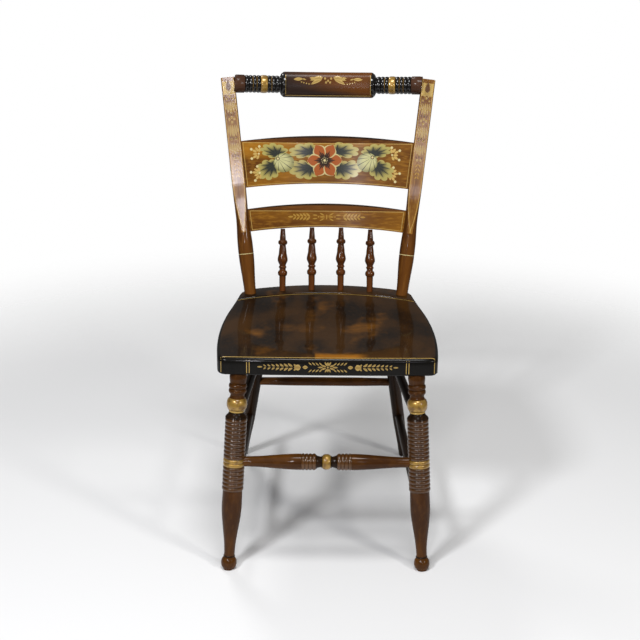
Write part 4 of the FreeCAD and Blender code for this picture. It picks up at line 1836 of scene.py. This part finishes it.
def arc(start: Vector, middle: Vector, end: Vector, count: int) -> list[Vector]:
    """Points along a circle's arc in a plan.

    Args:
        start: its start.
        middle: a point that it passes.
        end: its end.
        count: steps between its points.

    Returns:
        The points, both ends included.
    """
    near, far = middle - start, end - start
    centre = start + Vector((
        far.y * near.length_squared - near.y * far.length_squared,
        near.x * far.length_squared - far.x * near.length_squared,
    )) / (2.0 * near.cross(far))
    arm, tip = start - centre, end - centre
    turn = math.atan2(arm.cross(tip), arm.dot(tip))
    return [centre + Matrix.Rotation(turn * index / count, 2) @ arm for index in range(count + 1)]


def joined(runs: Sequence[list[Vector]], reach: float) -> list[Vector]:
    """A closed line from runs that meet at corners, with the corners rounded off.

    Args:
        runs: the runs in order, each starting where the last one ends.
        reach: how far from a corner its rounding starts.

    Returns:
        The points of the closed line.
    """
    kept = [[p for p in run if min((p - run[0]).length, (p - run[-1]).length) >= reach] for run in runs]
    line = []
    for run, whole, following in zip(kept, runs, kept[1:] + kept[:1]):
        start, end = run[-1], following[0]
        handles = (point.lerp(whole[-1], 0.55) for point in (start, end))
        line += run[:-1] + interpolate_bezier(start, *handles, end, 12)[:-1]
    return line


def evenly(line: Sequence[Vector], count: int) -> list[Vector]:
    """Points at even distances round a closed line.

    Args:
        line: the line's points.
        count: how many points to make.

    Returns:
        The points.
    """
    closed = list(line) + [line[0]]
    lengths = [(b - a).length for a, b in zip(closed, closed[1:])]
    step = sum(lengths) / count
    points, index, passed = [], 0, 0.0
    for number in range(count):
        while passed + lengths[index] < number * step:
            passed += lengths[index]
            index += 1
        points.append(closed[index].lerp(closed[index + 1], (number * step - passed) / lengths[index]))
    return points


@dataclass(frozen=True)
class Seat(Assembly):
    """The plank seat, with the striping and leaf spray on its front edge."""

    half_width: float = 221.0
    corner: Point = (214.37, 3.0)
    wide: Point = (221.0, 127.0)
    waist: Point = (203.5, 291.3)
    rear_corner: Point = (186.1, 398.0)
    corner_reach: float = 13.0
    top_round: float = 9.0
    under_bevel: float = 2.0
    dish_middle: float = -42.5
    dish_reach: float = 196.0
    dish_depth: float = 6.0
    ledge_inset: float = 9.6
    ledge_side: float = 122.7
    ledge_middle: float = 59.0
    ledge_depth: float = 0.5
    spray_height: float = 425.5
    ledge_round: float = 1.9
    front_line: float = 7.6
    ledge_line_half: float = 194.0
    stripe_end: float = 208.5
    stripe_heights: Point = (442.3, 412.5)
    stripes: Row = (-208.5, -158.3, -153.2, 153.2, 158.3, 208.5)
    steps: int = 200

    def plan(self, inset: float) -> list[Vector]:
        """Points of the seat's outline seen from above, drawn in by an inset.

        Args:
            inset: how far inside the edge.

        Returns:
            The points, evenly spaced.
        """
        front, rear = self.layout.seat_front, self.layout.seat_rear
        corner, wide, waist, far = (
            Vector((x, front + y)) for x, y in (self.corner, self.wide, self.waist, self.rear_corner)
        )
        side = arc(corner, wide, waist, 40)
        heading, chord = (side[-1] - side[-2]).normalized(), far - waist
        outward = (heading - chord * heading.dot(chord) / chord.length_squared).normalized()
        belly = waist.lerp(far, 0.5) + outward * chord.length / 2.0 * math.tan(heading.angle(chord) / 2.0)
        side += arc(waist, belly, far, 20)[1:]
        other = [Vector((-point.x, point.y)) for point in reversed(side)]
        front_run = arc(other[-1], Vector((0.0, front)), side[0], 60)
        rear_run = arc(far, Vector((0.0, rear)), other[0], 60)
        line = evenly(joined((front_run, side, rear_run, other), self.corner_reach), self.steps)
        drawn = []
        for before, point, after in zip(line[-1:] + line[:-1], line, line[1:] + line[:1]):
            along = (after - before).normalized()
            drawn.append(point + Vector((-along.y, along.x)) * inset)
        return drawn

    def section(self) -> list[Row]:
        """Rows of the plank's section: insets, or below zero shares of the way in, and heights.

        Returns:
            The rows, from the middle of the underside to the middle of the top.
        """
        top, under = self.layout.seat_top, self.layout.seat_under
        low, high = under + self.under_bevel, top - self.top_round
        rows = [(-share / 4.0, under) for share in range(4, 0, -1)] + [(self.under_bevel, under), (0.0, low)]
        rows += [(0.0, low + (high - low) * index / 4.0) for index in range(1, 5)]
        for index in range(1, 9):
            turn = math.pi / 2.0 * index / 8.0
            inset = self.top_round * (1.0 - math.cos(turn))
            rows.append((inset, top - self.top_round * (1.0 - math.sin(turn))))
        return rows + [(self.top_round + 2.0, top)] + [(-index / 30.0, top) for index in range(1, 31)]

    def sunk(self, x: float, y: float) -> float:
        """Depth of the dish at a place on the top."""
        share = 1.0 - (x * x + (y - self.dish_middle) ** 2) / self.dish_reach ** 2
        return self.dish_depth * max(0.0, share) ** 1.7

    def finish_at(self, centre: Vector) -> Finish:
        """The paint of a face of the plank: grained on its top, black round it and below."""
        above = centre.z > self.layout.seat_top - 0.45 - self.sunk(centre.x, centre.y)
        return Finish.SEAT if above else Finish.BLACK

    def plank(self, piece: Piece) -> None:
        """Adds the plank to a piece: a round block carried to the seat's outline and section.

        Args:
            piece: the seat's piece.
        """
        rows = self.section()
        last = len(rows) - 1
        radii = [0.0] + [last + 1.0] * (last - 1) + [0.0]
        block = spun(list(enumerate(radii)), self.steps)
        plans = {inset: self.plan(inset) for inset, _ in rows if inset >= 0.0}
        inner = plans[self.top_round + 2.0]
        middle = Vector((0.0, (self.layout.seat_front + self.layout.seat_rear) / 2.0))
        for vert in block.verts:
            inset, height = rows[round(vert.co.z)]
            number = round(math.atan2(vert.co.y, vert.co.x) / math.tau * self.steps) % self.steps
            spot = plans[inset][number] if inset >= 0.0 else inner[number].lerp(middle, -inset)
            if height >= self.layout.seat_top:
                height -= self.sunk(spot.x, spot.y)
            vert.co = Vector((spot.x, spot.y, height))
        bmesh.ops.recalc_face_normals(block, faces=block.faces)
        piece.paint(block, self.finish_at)
        piece.settle(block)

    def ledge_front(self, ahead: float = 0.0) -> list[Vector]:
        """The curve of the ledge's front, or one some way ahead of it.

        Args:
            ahead: how far ahead.

        Returns:
            Its points from left to right.
        """
        rear = self.layout.seat_rear - ahead
        side_y, middle_y = rear - self.ledge_side, rear - self.ledge_middle
        ends = (Vector((side * self.half_width, side_y)) for side in BOTH)
        return arc(next(ends), Vector((0.0, middle_y)), next(ends), 90)

    def ledge(self, piece: Piece) -> None:
        """Adds the raised strip under the posts and spindles to a piece.

        Args:
            piece: the seat's piece.
        """
        front, rim = self.ledge_front(), self.plan(self.ledge_inset)
        corner_y = self.layout.seat_rear - self.ledge_side + 14.0
        half = min(point.x for point in rim if point.x > 0.0 and abs(point.y - corner_y) < 5.0)
        near = [point for point in front if abs(point.x) < half]
        far = [point for point in rim if point.y > near[-1].y + 1.0]
        start = min(range(len(far)), key=lambda index: -far[index].x * 4.0 + far[index].y)
        strip, foot = new_mesh(), self.layout.seat_top - self.ledge_depth
        _, edges = ring(strip, [(point.x, point.y, foot) for point in near + far[start:] + far[:start]])
        face = bmesh.ops.contextual_create(strip, geom=edges)["faces"][0]
        raised = bmesh.ops.extrude_face_region(strip, geom=[face])["geom"]
        rise = UP * (self.layout.ledge_top - foot)
        bmesh.ops.translate(strip, verts=only(raised, bmesh.types.BMVert), vec=rise)
        bmesh.ops.bevel(strip, geom=only(raised, bmesh.types.BMEdge), offset=self.ledge_round, affect="EDGES",
                        segments=3, profile=0.5, material=-1)
        bmesh.ops.recalc_face_normals(strip, faces=strip.faces)
        piece.paint(strip, lambda _: Finish.SEAT)
        piece.settle(strip)

    def front_ornament(self) -> list[Shape]:
        """The spray between the double lines, by places across and above the floor.

        Returns:
            The shapes in the order of laying.
        """
        z = self.spray_height
        half = [Stroke(*reached(0.0, z, heading, 3.4), heading, reach, width) for heading, reach, width in (
            (62.0, 9.5, 3.4), (20.0, 11.0, 3.6), (-20.0, 11.0, 3.6), (-62.0, 8.5, 3.2)
        )]
        rows = [(9.0, 0.0, 0.0, 11.0, 3.4)]
        for index in range(4):
            rows += [(10.5 + index * 6.9, side * (3.8 + index * 0.2), side * 42.0, 9.0, 2.5)
                     for side in (1.0, -1.0)]
        rows += [(38.5, 0.0, 0.0, 11.0, 7.4, 0.0, 0.5, 1.0, 1.0),
                 (52.5, -0.5, 0.0, 13.5, 12.5, 0.0, 0.42, 0.9),
                 (62.0, 1.0, 52.0, 7.0, 3.4), (62.0, -2.0, -52.0, 7.0, 3.4)]
        for index in range(7):
            size, width = 11.5 - index * 0.8, 4.2 - index * 0.26
            rows += [(68.5 + index * 8.6, side * 1.4, side * 36.0, size, width, side * -0.8)
                     for side in (1.0, -1.0)]
        rows.append((127.5, 0.0, 0.0, 10.5, 3.2))
        middle = strokes(z, ((0.0, 3.0, 90.0, 8.0, 4.0), (0.0, -3.0, 270.0, 7.0, 3.6)))
        return mirrored(half + strokes(z, rows)) + [berry(0.0, z, 2.0)] + middle

    def top_lines(self) -> list[Line]:
        """The lines along the front of the top and the foot of the ledge, seen from above.

        Returns:
            Both lines.
        """
        front = []
        for index in range(61):
            x = self.stripe_end * (index / 30.0 - 1.0)
            y = self.layout.seat_front + self.front_line + self.corner[1] * (x / self.corner[0]) ** 2
            front.append((x, y))
        rear = [(point.x, point.y) for point in self.ledge_front(1.2) if abs(point.x) < self.ledge_line_half]
        return [Line(tuple(front), 1.6, lift=0.12), Line(tuple(rear), 1.5, lift=0.12)]

    def dress(self, stencil: Piece, mesh: Mesh) -> None:
        """Lays the striping and the spray on the plank.

        Args:
            stencil: the piece that gets the films.
            mesh: the plank's mesh.
        """
        tree = BVHTree.FromBMesh(mesh)
        front = Painter(stencil, tree, lambda x, z: Vector((x, BEFORE_SEAT, z)) * MM, BACK)
        high, low = self.stripe_heights
        front.paint([Line(((x, high), (x, low)), 1.3) for x in self.stripes] + self.front_ornament())
        Painter(stencil, tree, lambda x, y: Vector((x, y, ABOVE_SEAT)) * MM, -UP).paint(self.top_lines())

    def build(self) -> None:
        """Makes the seat and lays its ornament."""
        seat, stencil = self.piece("seat_plank"), self.piece("seat_stencil")
        self.plank(seat)
        self.dress(stencil, seat.mesh)
        self.ledge(seat)
        seat.done(["seat"], 32.0)
        stencil.done()


# The picture


@dataclass(frozen=True)
class Shot:
    """The camera's place and angles, fitted to the photograph."""

    place: Row = (-0.0432, -2.9431, 1.5488)
    tilt: float = 0.362
    turn: float = -0.0149
    roll: float = 0.0135
    lens: float = 84.53
    shift: float = -0.0109

    def take(self) -> None:
        """Makes the scene's camera."""
        level = Vector((-math.sin(self.turn), math.cos(self.turn), 0.0))
        ahead = level * math.cos(self.tilt) - UP * math.sin(self.tilt)
        right = level.cross(UP)
        up = right.cross(ahead)
        rolled = right * math.cos(self.roll) + up * math.sin(self.roll)
        above = up * math.cos(self.roll) - right * math.sin(self.roll)
        data = bpy.data.cameras.new("camera")
        data.lens, data.shift_x = self.lens, self.shift
        camera = linked("camera", data)
        axes = Matrix((rolled, above, -ahead)).transposed().to_4x4()
        camera.matrix_world = Matrix.Translation(self.place) @ axes
        bpy.context.scene.camera = camera


@dataclass(frozen=True)
class Lamp:
    """A soft lamp that looks at the chair: its width and place in metres, its power in watts."""

    name: str
    place: Row
    size: float
    power: float
    colour: Colour = (1.0, 1.0, 1.0)
    tall: float = 1.0

    def hang(self, target: Row) -> None:
        """Makes the lamp.

        Args:
            target: the place that it looks at.
        """
        data = bpy.data.lights.new(self.name, "AREA")
        data.shape = "ELLIPSE"
        data.size, data.size_y = self.size, self.size * self.tall
        data.energy, data.color = self.power, self.colour
        aim = Vector(target) - Vector(self.place)
        turned = aim.to_track_quat("-Z", "Y").to_matrix().to_4x4()
        linked(self.name, data).matrix_world = Matrix.Translation(self.place) @ turned


@dataclass(frozen=True)
class Studio:
    """The pale floor, white surround and soft lamps.

    The last four lamps make the gloss on the flat faces of the posts.
    """

    pale: float = 0.82
    ambient: float = 0.14
    radius: float = 2.0
    fade: Point = (1.9, 0.9)
    aim: Row = (0.0, 0.0, 0.45)
    lamps: tuple[Lamp, ...] = (
        Lamp("key", (-1.7, -2.5, 2.7), 0.6, 78.0, (0.97, 0.98, 1.0)),
        Lamp("fill", (2.3, -2.3, 1.9), 0.5, 34.0, (1.0, 0.99, 0.97)),
        Lamp("overhead", (0.1, -0.7, 3.3), 0.9, 42.0),
        Lamp("rim", (-1.0, 2.4, 3.4), 0.8, 30.0),
        Lamp("front", (0.45, -2.86, 1.62), 0.24, 1.5, (0.90, 0.88, 1.0), 1.2),
        Lamp("glint", (-0.355, -2.83, 1.41), 0.10, 3.6, (0.95, 0.93, 1.0), 2.0),
        Lamp("middle", (-0.355, -2.83, 1.62), 0.20, 0.55, (0.95, 0.93, 1.0), 1.2),
        Lamp("scoop", (-0.355, -2.83, 1.94), 0.10, 4.0, (0.95, 0.93, 1.0), 3.0),
    )

    def floor(self) -> None:
        """Makes the floor, which thins out into the white surround."""
        graph = Graph(bpy.data.materials.new("floor"))
        x, y, _ = graph.parts(graph.node("TexCoord").outputs["Object"])
        reach = graph.maths("SQRT", x * x + y * y)
        grey = (self.pale, self.pale, self.pale, 1.0)
        disc = bmesh.new()
        bmesh.ops.create_circle(disc, cap_ends=True, segments=96, radius=self.radius)
        data = bpy.data.meshes.new("floor")
        disc.to_mesh(data)
        disc.free()
        paint = {"Base Color": grey, "Roughness": 0.9, "Alpha": reach.ramp(*self.fade)}
        data.materials.append(graph.finish(paint))
        linked("floor", data)

    def surround(self) -> None:
        """Makes a plain grey light all round, seen as white by the camera."""
        graph = Graph(bpy.data.worlds.new("surround"))
        dim, full = (graph.node("Background", {"Color": WHITE, "Strength": s}) for s in (self.ambient, 1.0))
        seen = graph.node("LightPath").outputs["Is Camera Ray"]
        mixed = graph.node("MixShader", {0: seen, 1: dim.outputs[0], 2: full.outputs[0]})
        graph.node("OutputWorld", {"Surface": mixed.outputs[0]})
        bpy.context.scene.world = graph.owner

    def build(self) -> None:
        """Makes the floor, surround and lamps."""
        self.floor()
        self.surround()
        for lamp in self.lamps:
            lamp.hang(self.aim)
        bpy.context.scene.view_settings.view_transform = "Standard"


def main() -> None:
    """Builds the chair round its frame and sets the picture."""
    logging.basicConfig(level=logging.INFO)
    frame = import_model()
    log.info("frame nodes: %d", len(frame["nodes"]))
    layout, paints = Layout(), Paints()
    for group in (FrontLegs, PlainTurnings, FrontStretcher, BackPosts, WideSlat, NarrowSlat, Spindles,
                  CrestRail, Seat):
        group(layout, paints).build()
    Studio().build()
    Shot().take()


if __name__ == "__main__":
    main()
